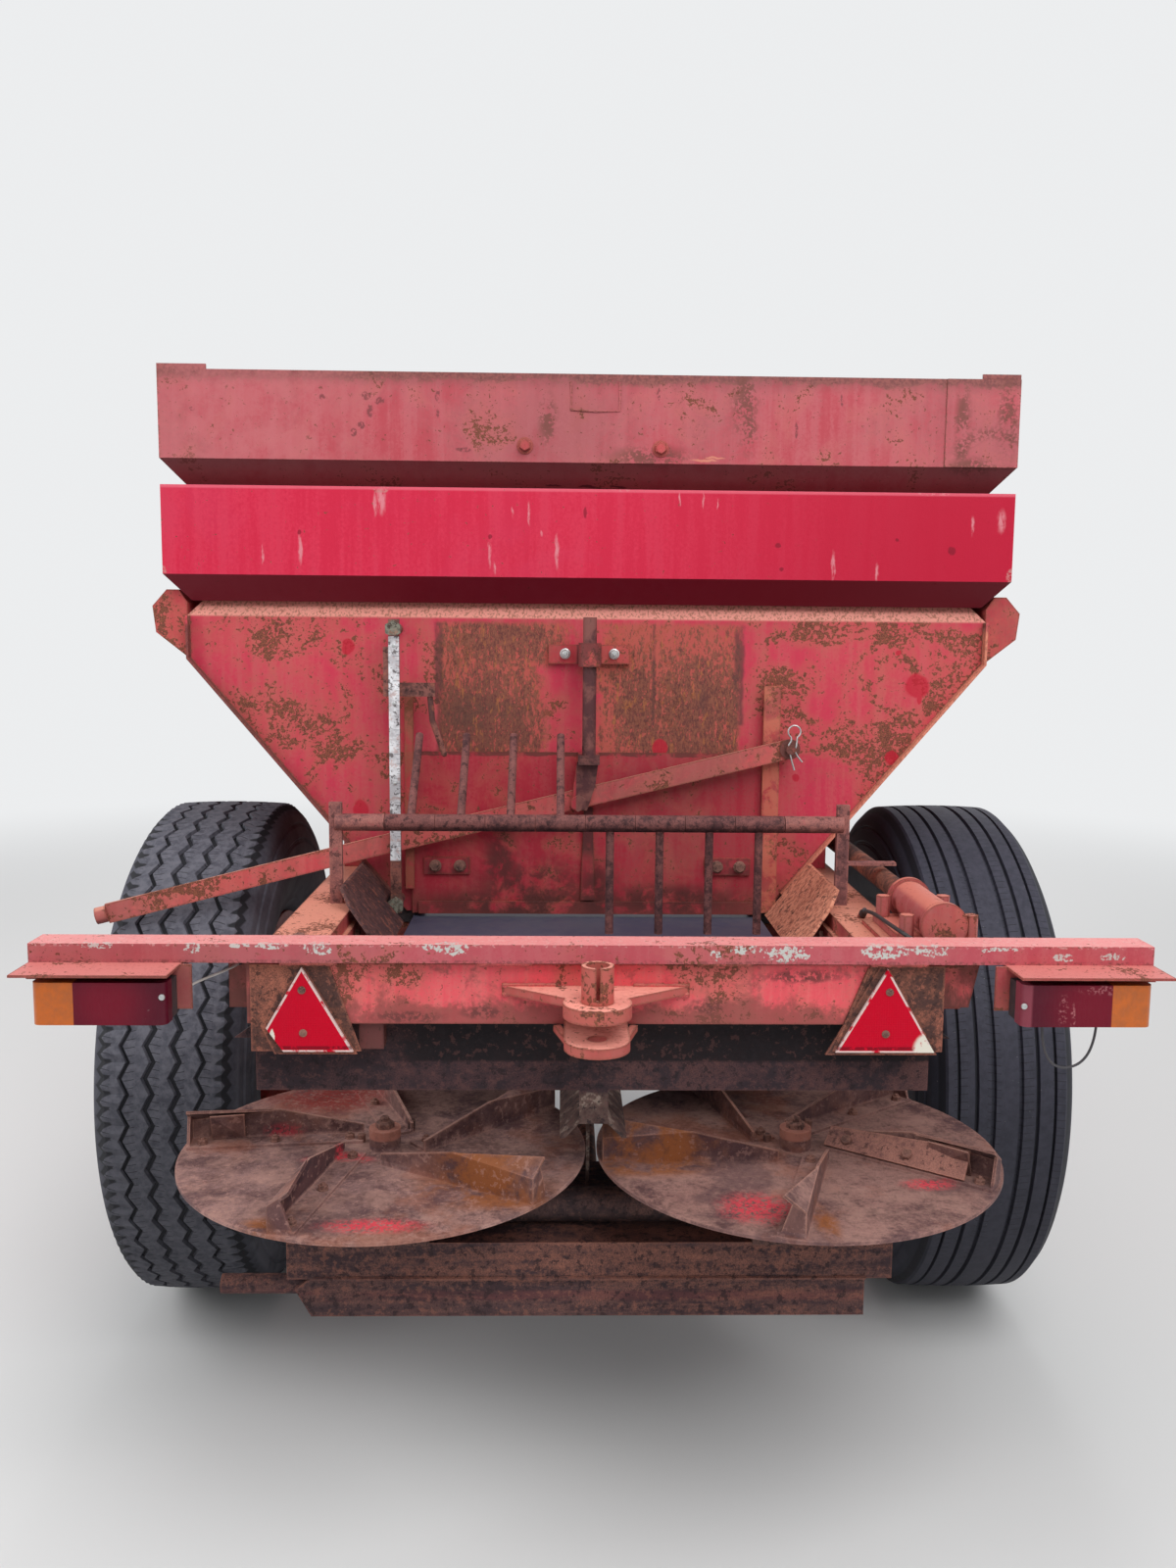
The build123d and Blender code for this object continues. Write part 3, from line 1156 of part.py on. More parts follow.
def hitch():
    z = (HITCH_PLATE_Z, HITCH_PLATE_Z + HITCH_PLATE)
    plate = prism_z(
        [
            (-HITCH_WING, REAR_FACE),
            (HITCH_WING, REAR_FACE),
            (HITCH_LOBE * 0.9, HITCH_Y + 20),
            (HITCH_LOBE * 0.9, HITCH_Y),
            (-HITCH_LOBE * 0.9, HITCH_Y),
            (-HITCH_LOBE * 0.9, HITCH_Y + 20),
        ],
        z,
    )
    plate += rod((0, HITCH_Y, z[0] - 8), (0, HITCH_Y, z[1]), HITCH_LOBE)
    plate += rod((0, HITCH_Y, z[1]), (0, HITCH_Y, HITCH_TUBE_TOP), HITCH_TUBE_OUTER)
    plate -= rod((0, HITCH_Y, z[0] - 20), (0, HITCH_Y, HITCH_TUBE_TOP + 5), HITCH_TUBE_INNER)
    plate -= block((-3, 3), (HITCH_Y - 40, HITCH_Y), (z[1] + 8, HITCH_TUBE_TOP + 5))
    z = (TONGUE_Z, TONGUE_Z + TONGUE_THICK)
    tongue = block((-TONGUE_HALF, TONGUE_HALF), (HITCH_Y, REAR_FACE), z)
    tongue += rod((0, HITCH_Y, z[0]), (0, HITCH_Y, z[1]), TONGUE_HALF)
    tongue -= rod((0, HITCH_Y, z[0] - 5), (0, HITCH_Y, z[1] + 5), TONGUE_HOLE)
    behind = block((-HITCH_WING, HITCH_WING), (HITCH_Y, REAR_FACE), (TONGUE_Z - 60, TONGUE_Z + 60))
    for side in (-1, 1):
        start = (side * 62, REAR_FACE, BEAM_BOTTOM - 6)
        brace = flat(start, (side * 40, HITCH_Y + 30, TONGUE_Z - 4), 12, 10, (0, 0, 1))
        tongue += brace & behind
    NODES["rear_hitch"] = group(plate, tongue)


def side_shaft():
    NODES["side_shaft"] = rod((SIDE_X, SIDE_MID + 13, SIDE_Z), (SIDE_X, SIDE_FRONT, SIDE_Z), SIDE_RADIUS)
    drum = rod((SIDE_X, SIDE_REAR, SIDE_Z), (SIDE_X, SIDE_MID, SIDE_Z), HOUSING_RADIUS)
    for y in (SIDE_REAR - 12, SIDE_MID):
        drum += rod((SIDE_X, y, SIDE_Z), (SIDE_X, y + 12, SIDE_Z), CAP_RADIUS)
    floor = RAIL_TOP + SHELF_THICK
    foot = block((SIDE_X - 66, SIDE_X + 66), (SIDE_REAR, SIDE_MID), (floor, floor + 14))
    saddle = block((SIDE_X - 26, SIDE_X + 26), (SIDE_REAR + 20, SIDE_MID - 20), (floor, SIDE_Z))
    base = drum + foot + saddle
    for x in (SIDE_X - 54, SIDE_X + 54):
        for y in (SIDE_REAR + 22, SIDE_MID - 22):
            base += hexagon_bolt((x, y, floor + 14), (0, 0, 1), 22, 38)
    NODES["shaft_housing"] = base
    shelf_x = (RAIL_OUTER - SHELF_IN, SIDE_X + SHELF_OUT)
    shelf = block(shelf_x, (SIDE_REAR - 20, SIDE_MID + 10), (RAIL_TOP, floor))
    web = block((RAIL_OUTER, RAIL_OUTER + 52), (SIDE_REAR - 20, SIDE_REAR - 10), (RAIL_BOTTOM + 10, RAIL_TOP))
    blocks = [shelf + web]
    for y in BLOCK_Y:
        stand = block((RAIL_OUTER - 30, SIDE_X + 34), (y + 12, y + 12 + BLOCK_DEPTH), (RAIL_TOP, SIDE_Z + 32))
        stand -= rod((SIDE_X, y, SIDE_Z), (SIDE_X, y + BLOCK_DEPTH + 24, SIDE_Z), SIDE_RADIUS + FIT)
        blocks.append(stand)
    NODES["shaft_brackets"] = group(*blocks)


def drive_line():
    shaft = rod((0, SPIN_FRONT, LINE_Z), (0, LINE_FRONT, LINE_Z), LINE_RADIUS)
    stub = rod((0, LINE_FRONT, LINE_Z), (0, LINE_FRONT + STUB_LENGTH, LINE_Z), STUB_RADIUS)
    NODES["drive_shaft"] = shaft + stub
    hangers = []
    # rear edge of each hanger and the height of what it hangs from
    for y, top in ((-15, TYRE_RADIUS - AXLE_SIZE / 2), (FRONT_FACE - 45, BEAM_BOTTOM)):
        deep, half = LINE_HANGER_DEPTH, LINE_HANGER
        ring = block((-half, half), (y, y + deep), (LINE_Z - half, top))
        ring -= rod((0, y - 5, LINE_Z), (0, y + deep + 5, LINE_Z), LINE_RADIUS + FIT)
        hangers.append(ring)
    NODES["drive_hangers"] = group(*hangers)


def main():
    wheels()
    axle()
    frame()
    drawbar()
    jack()
    hopper()
    extensions()
    gate()
    lever()
    scale()
    guard()
    belt()
    chute()
    spinner()
    lights()
    reflectors()
    hitch()
    side_shaft()
    drive_line()
    os.makedirs("parts", exist_ok=True)
    for name, shape in NODES.items():
        export_step(place(shape), os.path.join("parts", name + ".step"))
    print(len(NODES), "nodes; the axle is at y =", AXLE_Y)


main()
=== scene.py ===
import math
import random

import bpy
import bmesh
from mathutils import Matrix, Vector


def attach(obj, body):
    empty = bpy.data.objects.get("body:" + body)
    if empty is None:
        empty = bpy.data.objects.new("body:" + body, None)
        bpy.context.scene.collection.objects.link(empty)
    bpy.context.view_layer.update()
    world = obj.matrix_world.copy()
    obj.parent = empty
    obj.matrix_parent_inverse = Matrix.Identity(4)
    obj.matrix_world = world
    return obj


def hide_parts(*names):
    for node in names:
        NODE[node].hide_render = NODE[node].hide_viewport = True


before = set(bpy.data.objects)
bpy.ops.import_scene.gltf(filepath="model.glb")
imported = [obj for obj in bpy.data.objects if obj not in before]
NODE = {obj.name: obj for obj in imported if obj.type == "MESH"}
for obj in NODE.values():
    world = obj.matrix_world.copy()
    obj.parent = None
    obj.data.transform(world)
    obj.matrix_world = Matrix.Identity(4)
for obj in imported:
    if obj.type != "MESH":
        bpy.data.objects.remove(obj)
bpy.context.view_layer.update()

# The part's own numbers are millimetres counted from the axle; the row frame is in metres.
AXLE_Y = -0.8875
MM = 0.001
TYRE_R, WHEEL_X = 570, 846
DISC_X, DISC_Y, DISC_TOP = 367, -826, 637
# rear faces of the boards, the hopper's rear wall, the gate, the rear beam and the light bar
BOARDS, WALL, GATE, BEAM, BAR = -380, -335, -346, -1030, -1050
BACKGROUND = (0.84, 0.85, 0.86)


def at(x, y, z):
    """Point in the row frame, in metres, from millimetres counted from the axle."""
    return Vector((x * MM, y * MM + AXLE_Y, z * MM))


# ---------------------------------------------------------------- camera
FOCAL, LONG_SIDE = 1287.0, 1600.0
PITCH, TURN, ROLL = (math.radians(a) for a in (6.91, 1.30, 0.52))


def add_camera():
    right = Vector((math.cos(TURN), -math.sin(TURN), 0))
    ahead = Vector((math.sin(TURN) * math.cos(PITCH), math.cos(TURN) * math.cos(PITCH), -math.sin(PITCH)))
    up = right.cross(ahead)
    side = right * math.cos(ROLL) + up * math.sin(ROLL)
    top = up * math.cos(ROLL) - right * math.sin(ROLL)
    data = bpy.data.cameras.new("camera")
    data.lens = FOCAL / LONG_SIDE * data.sensor_width
    cam = bpy.data.objects.new("camera", data)
    turned = Matrix((side, top, -ahead)).transposed().to_4x4()
    cam.matrix_world = Matrix.Translation(at(-60, -2990, 1554)) @ turned
    bpy.context.scene.collection.objects.link(cam)
    bpy.context.scene.camera = cam


add_camera()


# ---------------------------------------------------------------- materials
def linear(colour):
    """Linear colour from the 0 to 255 values that it shows as, which is how colours are given below."""
    return tuple(((v / 255 + 0.055) / 1.055) ** 2.4 for v in colour)


def shade(colour, share, more=0.0):
    """Linear colour, darker or lighter."""
    return tuple(min(1, share * v + more) for v in linear(colour))


def by(op, swapped=False):
    """Operator of a Value, as a Math node."""

    def run(a, b=0.0):
        return a.look.math(op, b, a) if swapped else a.look.math(op, a, b)

    return run


class Value:
    """What a node gives out. Arithmetic on it adds Math nodes."""

    __add__, __radd__ = by("ADD"), by("ADD", True)
    __sub__, __rsub__ = by("SUBTRACT"), by("SUBTRACT", True)
    __mul__, __rmul__ = by("MULTIPLY"), by("MULTIPLY", True)
    __abs__ = by("ABSOLUTE")

    def __init__(self, look, socket):
        self.look, self.socket = look, socket

    def math(self, op, other=0.0):
        return self.look.math(op, self, other)

    def step(self, low, high):
        """0 below low, 1 above high and smooth between; falls where low is above high."""
        ends = (low, high, 0, 1) if low < high else (high, low, 1, 0)
        node = self.look.node("MapRange", self, *ends)
        node.interpolation_type = "SMOOTHSTEP"
        return Value(self.look, node.outputs[0])


MADE = {}  # materials by name


class Nodes:
    """Short ways to add to the nodes of a material or world."""

    def __init__(self, owner):
        owner.use_nodes = True
        self.tree = owner.node_tree
        self.tree.nodes.clear()

    def put(self, value, socket):
        value = getattr(value, "socket", value)
        if isinstance(value, bpy.types.NodeSocket):
            self.tree.links.new(value, socket)
        elif socket.type == "RGBA":
            socket.default_value = (*(linear(value) if max(value) > 1 else value), 1)
        else:
            socket.default_value = value

    def fill(self, node, values):
        """Inputs by name, with _ for a space."""
        for name, value in values.items():
            self.put(value, node.inputs[name.replace("_", " ")])

    def node(self, kind, *values, **named):
        """New node, its first inputs set in turn and others by name."""
        node = self.tree.nodes.new("ShaderNode" + kind)
        for value, socket in zip(values, node.inputs):
            self.put(value, socket)
        self.fill(node, named)
        return node

    def math(self, op, a, b=0.0):
        node = self.node("Math", a, b, 0.0)
        node.operation = op
        return Value(self, node.outputs[0])


class Look(Nodes):
    """A material. Coordinates are the row frame's, in metres."""

    def __init__(self, name, ragged=0.0):
        self.material = bpy.data.materials.new(name)
        super().__init__(self.material)
        self.shader = self.node("BsdfPrincipled")
        self.out = self.node("OutputMaterial", self.shader.outputs[0])
        coords = self.node("TexCoord").outputs
        self.place = self.ragged = Value(self, coords["Object"])
        self.normal = Value(self, coords["Normal"])
        self.colour, self.split = None, {}
        if ragged:
            # a place that wanders by a few millimetres gives marks a ragged outline
            cloud = self.node("TexNoise", Vector=self.place, Scale=45, Detail=4).outputs["Color"]
            wander = self.vector("MULTIPLY_ADD", cloud, (ragged * MM,) * 3, (-0.5 * ragged * MM,) * 3)
            self.ragged = self.vector("ADD", self.place, wander)

    def set(self, **values):
        self.fill(self.shader, values)

    def vector(self, op, *values):
        node = self.node("VectorMath", *values)
        node.operation = op
        return Value(self, node.outputs["Value" if op in ("LENGTH", "DOT_PRODUCT") else "Vector"])

    def most(self, first, *others):
        for other in others:
            first = first.math("MAXIMUM", other)
        return first

    def mix(self, share, a, b):
        node = self.node("Mix")
        node.data_type = "RGBA"
        for value, place in ((share, 0), (a, 6), (b, 7)):
            self.put(value, node.inputs[place])
        return Value(self, node.outputs[2])

    def lay(self, share, tint):
        """Lays a tint over the colour so far."""
        self.colour = self.mix(share, self.colour, tint)

    def noise(self, scale, detail=3.0, rough=0.5, stretch=None, shift=(0, 0, 0), bend=0.0):
        place = self.place
        if stretch or any(shift):
            place = self.vector("MULTIPLY_ADD", place, stretch or (1, 1, 1), shift)
        node = self.node(
            "TexNoise", Vector=place, Scale=scale, Detail=detail, Roughness=rough, Distortion=bend)
        return Value(self, node.outputs[0])

    def part_of(self, vector, which):
        if vector not in self.split:
            self.split[vector] = self.node("SeparateXYZ", vector).outputs
        return Value(self, self.split[vector]["XYZ".index(which)])

    x, y, z = (property(lambda self, which=which: self.part_of(self.place, which)) for which in "XYZ")

    def faces(self, which):
        """Normal along an axis."""
        return self.part_of(self.normal, which)

    def spot(self, x, y, z, radius, squeeze=(1, 1, 1), soft=0.2):
        """1 inside an ellipsoid round a point given in millimetres from the axle."""
        away = self.vector("MULTIPLY", self.vector("SUBTRACT", self.ragged, at(x, y, z)), squeeze)
        return self.vector("LENGTH", away).step(radius * MM * (1 + soft), radius * MM * (1 - soft))

    def spots(self, rows, soft=0.2):
        return self.most(*(self.spot(*row, soft=soft) for row in rows))

    def dabs(self, y, *rows, soft=0.2):
        """Spots on a face at y: x, z, radius and how much narrower each is across and upwards."""
        full = [(*row, 1, 1)[:5] for row in rows]
        return self.spots([(x, y, z, radius, (across, 1, up)) for x, z, radius, across, up in full], soft)

    def band(self, which, low, high, soft, straight=True):
        """1 between two values on an axis, in millimetres from the axle."""
        shift = AXLE_Y if which == "Y" else 0
        value = self.part_of(self.place if straight else self.ragged, which)
        rise = value.step((low - soft) * MM + shift, (low + soft) * MM + shift)
        return rise * value.step((high + soft) * MM + shift, (high - soft) * MM + shift)

    def patch(self, x, y, z, soft=4):
        """1 inside a box with ragged sides, in millimetres from the axle; None leaves an axis open."""
        bands = [self.band(axis, *span, soft, False) for axis, span in zip("XYZ", (x, y, z)) if span]
        return math.prod(bands[1:], start=bands[0])

    def edges(self, radius=0.006):
        """1 on sharp outer and inner edges."""
        bevel = self.node("Bevel", radius)
        bevel.samples = 3
        true = self.node("NewGeometry").outputs["Normal"]
        return self.vector("DOT_PRODUCT", bevel.outputs[0], true).step(0.985, 0.85)

    def wear(self, nodes):
        """Keeps the material and puts it on CAD nodes, named in one string."""
        MADE[self.material.name.split(".")[0]] = self.material
        for name in nodes.split():
            data = NODE[name].data
            data.materials.clear()
            data.materials.append(self.material)

    def relief(self, height, strength=0.4, depth=0.002):
        bump = self.node("Bump", Strength=strength, Distance=depth, Height=height)
        self.set(Normal=bump.outputs[0])


RUST_DARK = (74, 48, 44)
RUST_MID = (116, 72, 58)
RUST_LIGHT = (176, 104, 80)
GRIME = (92, 66, 62)


def painted(
        name, nodes, paint, faded, fade=0.6, rust=0.5, speck=150.0, dirt=0.25, edge=0.8, halo=0.6, top=None,
        under=0.55, inner=None, rough=0.48, where=None, after=None):
    """Old paint on steel. It fades in patches, pales round clusters of rust specks and rusts along edges."""
    look = Look(name, 12)
    wide = look.noise(2.4, 3, 0.55)
    patch = look.noise(8, 5, 0.64, bend=0.5)
    grain = look.noise(speck, 3, 0.6, bend=0.6)
    fine = look.noise(speck * 4, 2, 0.5)
    runs = look.noise(1.0, 4, 0.6, stretch=(42, 42, 3.0))
    sway = wide * 0.5 + patch * 0.5
    look.colour = look.mix(sway.step(0.66 - fade * 0.32, 0.72 - fade * 0.16), paint, faded)
    look.lay(runs.step(0.44, 0.74) * 0.32, shade(faded, 0.55))
    look.lay((runs + grain * 0.5).step(0.62, 0.92) * 0.35, shade(faded, 1.3, 0.03))
    spread = patch if where is None else patch + where(look)
    low = 0.66 - 0.30 * rust
    density = spread.step(low - 0.06, low + 0.16)
    look.lay(spread.step(low - 0.1, low + 0.12) * halo, (190, 98, 86))
    mottle = grain * 0.6 + look.noise(speck * 0.3, 4, 0.68, stretch=(0.8, 1, 1.4), shift=(2, 7, 3)) * 0.4
    core = (mottle + density * 0.17).step(0.625, 0.645)
    lone = look.noise(speck * 0.62, 3, 0.62, shift=(3, 1, 2)).step(0.7 - 0.06 * rust, 0.72 - 0.06 * rust)
    core = look.most(core, lone * (1.0 if rust > 0 else 0.0))
    rim = look.edges()
    worn = rim * (grain + patch * 0.5).step(0.9 - edge * 0.5, 1.0 - edge * 0.4)
    look.lay(rim * (0.35 * edge), (205, 128, 108))
    core = look.most(core, worn)
    look.lay((wide + grain * 0.5).step(0.66, 0.92) * dirt, GRIME)
    # painted highlight: faces that look up are lightened towards the top colour, in patches and then all over
    if top:
        flat = look.faces("Z").step(0.55, 0.85)
        look.lay(flat * (grain + patch * 0.7).step(0.52, 0.8) * 0.9, top)
        look.lay(flat * 0.45, top)
    rusty = look.mix(fine.step(0.38, 0.62), (88, 56, 48), (140, 86, 64))
    look.lay(core * 0.92, rusty)
    if inner:
        look.lay(
            inner(look) * (patch + runs * 0.4).step(0.44, 0.62),
            look.mix(grain.step(0.4, 0.6), RUST_MID, (150, 118, 104)))
    if after:
        after(look)
    # painted shade: faces that look down are darkened towards a dark copy of the paint
    look.lay(look.faces("Z").step(-0.2, -0.6) * under, shade(paint, 0.12))
    look.relief(core * -0.5 + fine * 0.35 + grain * 0.3, 0.4, 0.0011)
    look.set(Base_Color=look.colour, Roughness=rough + core * 0.36 + fine * 0.1, Specular_IOR_Level=0.22)
    look.wear(nodes)


def rusted(
        name, nodes, dark=RUST_DARK, mid=RUST_MID, light=RUST_LIGHT, paint=None, left=0.0, under=0.5,
        after=None, run=None, pitted=0.75, soft=0.07):
    """Bare rusted steel, with what is left of its paint."""
    look = Look(name, 10)
    wide = look.noise(3.0, 4, 0.6, stretch=run)
    patch = look.noise(15, 5, 0.66, stretch=run, bend=0.5)
    grain = look.noise(110, 4, 0.7)
    fine = look.noise(520, 2, 0.6)
    look.colour = look.mix((patch * 0.65 + grain * 0.35).step(0.5 - soft, 0.5 + soft), dark, mid)
    glow = (wide * 0.5 + patch * 0.3 + grain * 0.3).step(0.52, 0.62)
    look.lay(glow * 0.6, light)
    look.lay((fine + grain * 0.4).step(0.62, 0.8) * (0.2 + 0.5 * pitted), dark)
    if paint:
        kept = (patch * 0.5 + grain * 0.25 + wide * 0.25).step(0.7 - left * 0.3, 0.73 - left * 0.3)
        look.lay(kept * 0.85, paint)
    look.lay(look.edges() * 0.5, shade(light, 1.2))
    if after:
        after(look)
    # painted shade: faces that look down are darkened towards a dark copy of the rust
    look.lay(look.faces("Z").step(-0.2, -0.6) * under, shade(dark, 0.25))
    pits = look.noise(70, 4, 0.7, shift=(1, 1, 5))
    look.lay(pits.step(0.565, 0.6) * pitted, shade(dark, 0.5))
    look.lay(pits.step(0.43, 0.39) * 0.36, light)
    look.relief(grain * 0.6 + fine * 0.4 + pits * -0.4, 0.6, 0.0016)
    look.set(Base_Color=look.colour, Roughness=0.7 + grain * 0.22, Specular_IOR_Level=0.35)
    look.wear(nodes)


def covered(
        name, nodes, base, dust, dusty=0.6, rough=0.5, white=0.3, after=None, height=None, coat=0.0,
        shine=0.4):
    """Rubber or plastic under dust."""
    look = Look(name, 6)
    wide = look.noise(5, 4, 0.6)
    grain = look.noise(70, 5, 0.65)
    fine = look.noise(600, 2, 0.5)
    share = (wide * 0.5 + grain * 0.5).step(0.38, 0.66) * dusty
    look.colour = look.mix(share, base, dust)
    look.lay(look.noise(190, 2, 0.5, shift=(5, 2, 1)).step(0.74, 0.79) * white, (176, 174, 172))
    if after:
        after(look)
    bumps = grain * 0.5 + fine * 0.5
    look.relief(bumps if height is None else bumps * 0.3 + height(look), 0.35, 0.001)
    look.set(Base_Color=look.colour, Roughness=rough + grain * 0.2, Specular_IOR_Level=shine,
             Coat_Weight=coat, Coat_Roughness=0.12)
    look.wear(nodes)


def metal(name, nodes, base, rough=0.42, share=0.4):
    look = Look(name)
    grain = look.noise(130, 5, 0.65)
    fine = look.noise(700, 2, 0.5)
    dull = grain.step(0.42, 0.7) * share
    look.relief(grain * 0.5 + fine * 0.5, 0.25, 0.0005)
    look.set(Base_Color=look.mix(dull, base, (120, 96, 84)), Roughness=rough + dull * 0.5, Metallic=0.8)
    look.wear(nodes)


# ---------------------------------------------------------------- one look for each kind of piece
RED = (196, 58, 74)
RED_FADED = (190, 88, 84)
SALMON = (205, 130, 112)
BARE = (196, 196, 190)


def upper_marks(look):
    cloud = look.noise(24, 4, 0.65)
    grain = look.noise(160, 3, 0.6)
    top = look.band("Z", 2042, 2070, 14, False)
    fray = (cloud * 0.5 + grain * 0.3 + look.z.step(2.02, 2.066) * 0.34).step(0.6, 0.68)
    look.lay(fray * 0.75, look.mix(grain.step(0.4, 0.6), (104, 66, 62), (150, 92, 84)))
    look.lay(top * 0.35, (112, 72, 70))
    left = look.band("X", -880, -500, 120) * cloud.step(0.3, 0.6) * 0.5
    look.lay(left, (196, 112, 116))
    smudges = look.dabs(
        BOARDS, (-88, 1975, 22, 1.3, 0.5), (310, 2010, 24, 1.0, 0.35), (318, 1960, 22, 1.4, 0.5),
        (752, 1975, 26, 1.9, 0.32), (775, 1892, 26, 0.6, 1.6), (845, 1990, 30, 1.6, 0.4),
        (120, 1905, 26, 0.35, 1.4), soft=0.6)
    look.lay(smudges * (cloud + grain * 0.8).step(0.84, 0.96) * 0.85, (116, 70, 62))
    arc = look.spot(815, BOARDS, 1925, 62, (0.8, 1, 1.4), 0.25)
    inside = look.spot(822, BOARDS, 1912, 52, (0.8, 1, 1.4), 0.25)
    look.lay((arc - inside) * grain.step(0.42, 0.54) * 0.7, (112, 68, 60))
    marks = look.dabs(
        BOARDS, (-452, 2018, 9, 1, 1.3), (-445, 1990, 7, 1, 0.5), (-425, 2008, 8), (-462, 1960, 7),
        (-478, 1945, 6, 1, 0.7), (-540, 2015, 6), (-310, 2020, 7, 1.6, 0.6), (-310, 1985, 5, 1.6, 0.6),
        (415, 1960, 5, 1.8, 0.3), (505, 2022, 5, 1.6, 0.4), (135, 2030, 5, 1.6, 0.4),
        (-258, 1915, 8, 0.5, 1.8), (-800, 1990, 5))
    look.lay(marks * grain.step(0.4, 0.52) * 0.8, (118, 62, 64))
    lines = look.spots([(230, BOARDS, 1899, 22, (0.9, 1, 9)), (250, BOARDS, 1904, 18, (0.9, 1, 9))], 0.3)
    look.lay(lines * 0.6, (226, 150, 120))
    slots = look.dabs(GATE, (-76, 1850, 12, 0.7, 6), (-6, 1848, 14, 0.7, 6), (57, 1849, 12, 0.7, 6))
    look.lay(slots, (40, 20, 26))


def lower_marks(look):
    right = look.x.step(-0.1, 0.75)
    look.lay(right * 0.9, (182, 16, 50))
    scratch = look.dabs(
        BOARDS, (-424, 1812, 24, 3.2), (-436, 1806, 20, 5), (-589, 1716, 30, 9), (-205, 1714, 26, 9),
        (-125, 1788, 20, 8), (-160, 1792, 10, 6), (-69, 1716, 30, 8), (-195, 1680, 12, 6),
        (-665, 1704, 18, 8), (-100, 1750, 6, 3), (498, 1691, 26, 8), (588, 1680, 16, 6), (180, 1822, 12, 8),
        (228, 1822, 14, 8), (258, 1812, 8, 8), (842, 1785, 20, 2.6), (782, 1775, 16, 6), soft=0.5)
    look.lay(scratch * look.noise(120, 4, 0.7, stretch=(1, 1, 0.3)).step(0.34, 0.56) * 0.7, (222, 150, 158))
    dots = look.dabs(
        BOARDS, (384, 1732, 6), (742, 1724, 8), (628, 1744, 4), (392, 1684, 4), (-10, 1792, 6, 1.5, 0.6),
        (-205, 1742, 4), (-589, 1748, 4))
    look.lay(dots * 0.7, (120, 10, 34))
    chips = look.dabs(
        BOARDS, (-425, 1836, 14, 0.8, 1.6), (-868, 1668, 12, 1.4), (866, 1670, 12, 1.4, 0.7),
        (60, 1839, 10, 0.5, 3), (700, 1838, 14, 0.4, 4))
    look.lay(chips * look.noise(90, 4, 0.7).step(0.45, 0.55) * 0.8, (196, 130, 128))
    # painted highlight: a light line along the board's folded top edge
    lip = look.band("Z", 1834, 1842, 2) * 0.55
    look.lay(lip, (236, 116, 134))


def hopper_where(look):
    clusters = look.dabs(
        WALL, (-560, 1392, 150, 0.85, 2.0), (-470, 1330, 90, 0.9, 1.5), (-600, 1440, 90, 1.2, 1.2),
        (-520, 1500, 60, 1.0, 1.6), (588, 1388, 85, 1.1, 0.8), (545, 1330, 60, 1.4, 0.9),
        (440, 1553, 60, 0.6, 2.4), (620, 1553, 50, 0.8, 2.4), (745, 1553, 50, 0.7, 2.4), (700, 1390, 60),
        (-430, 1250, 90), (620, 1240, 100), (430, 1430, 60), (-640, 1520, 80, 0.7, 1.6), (-330, 1180, 70),
        soft=0.8)
    return clusters * 0.13 + -0.02


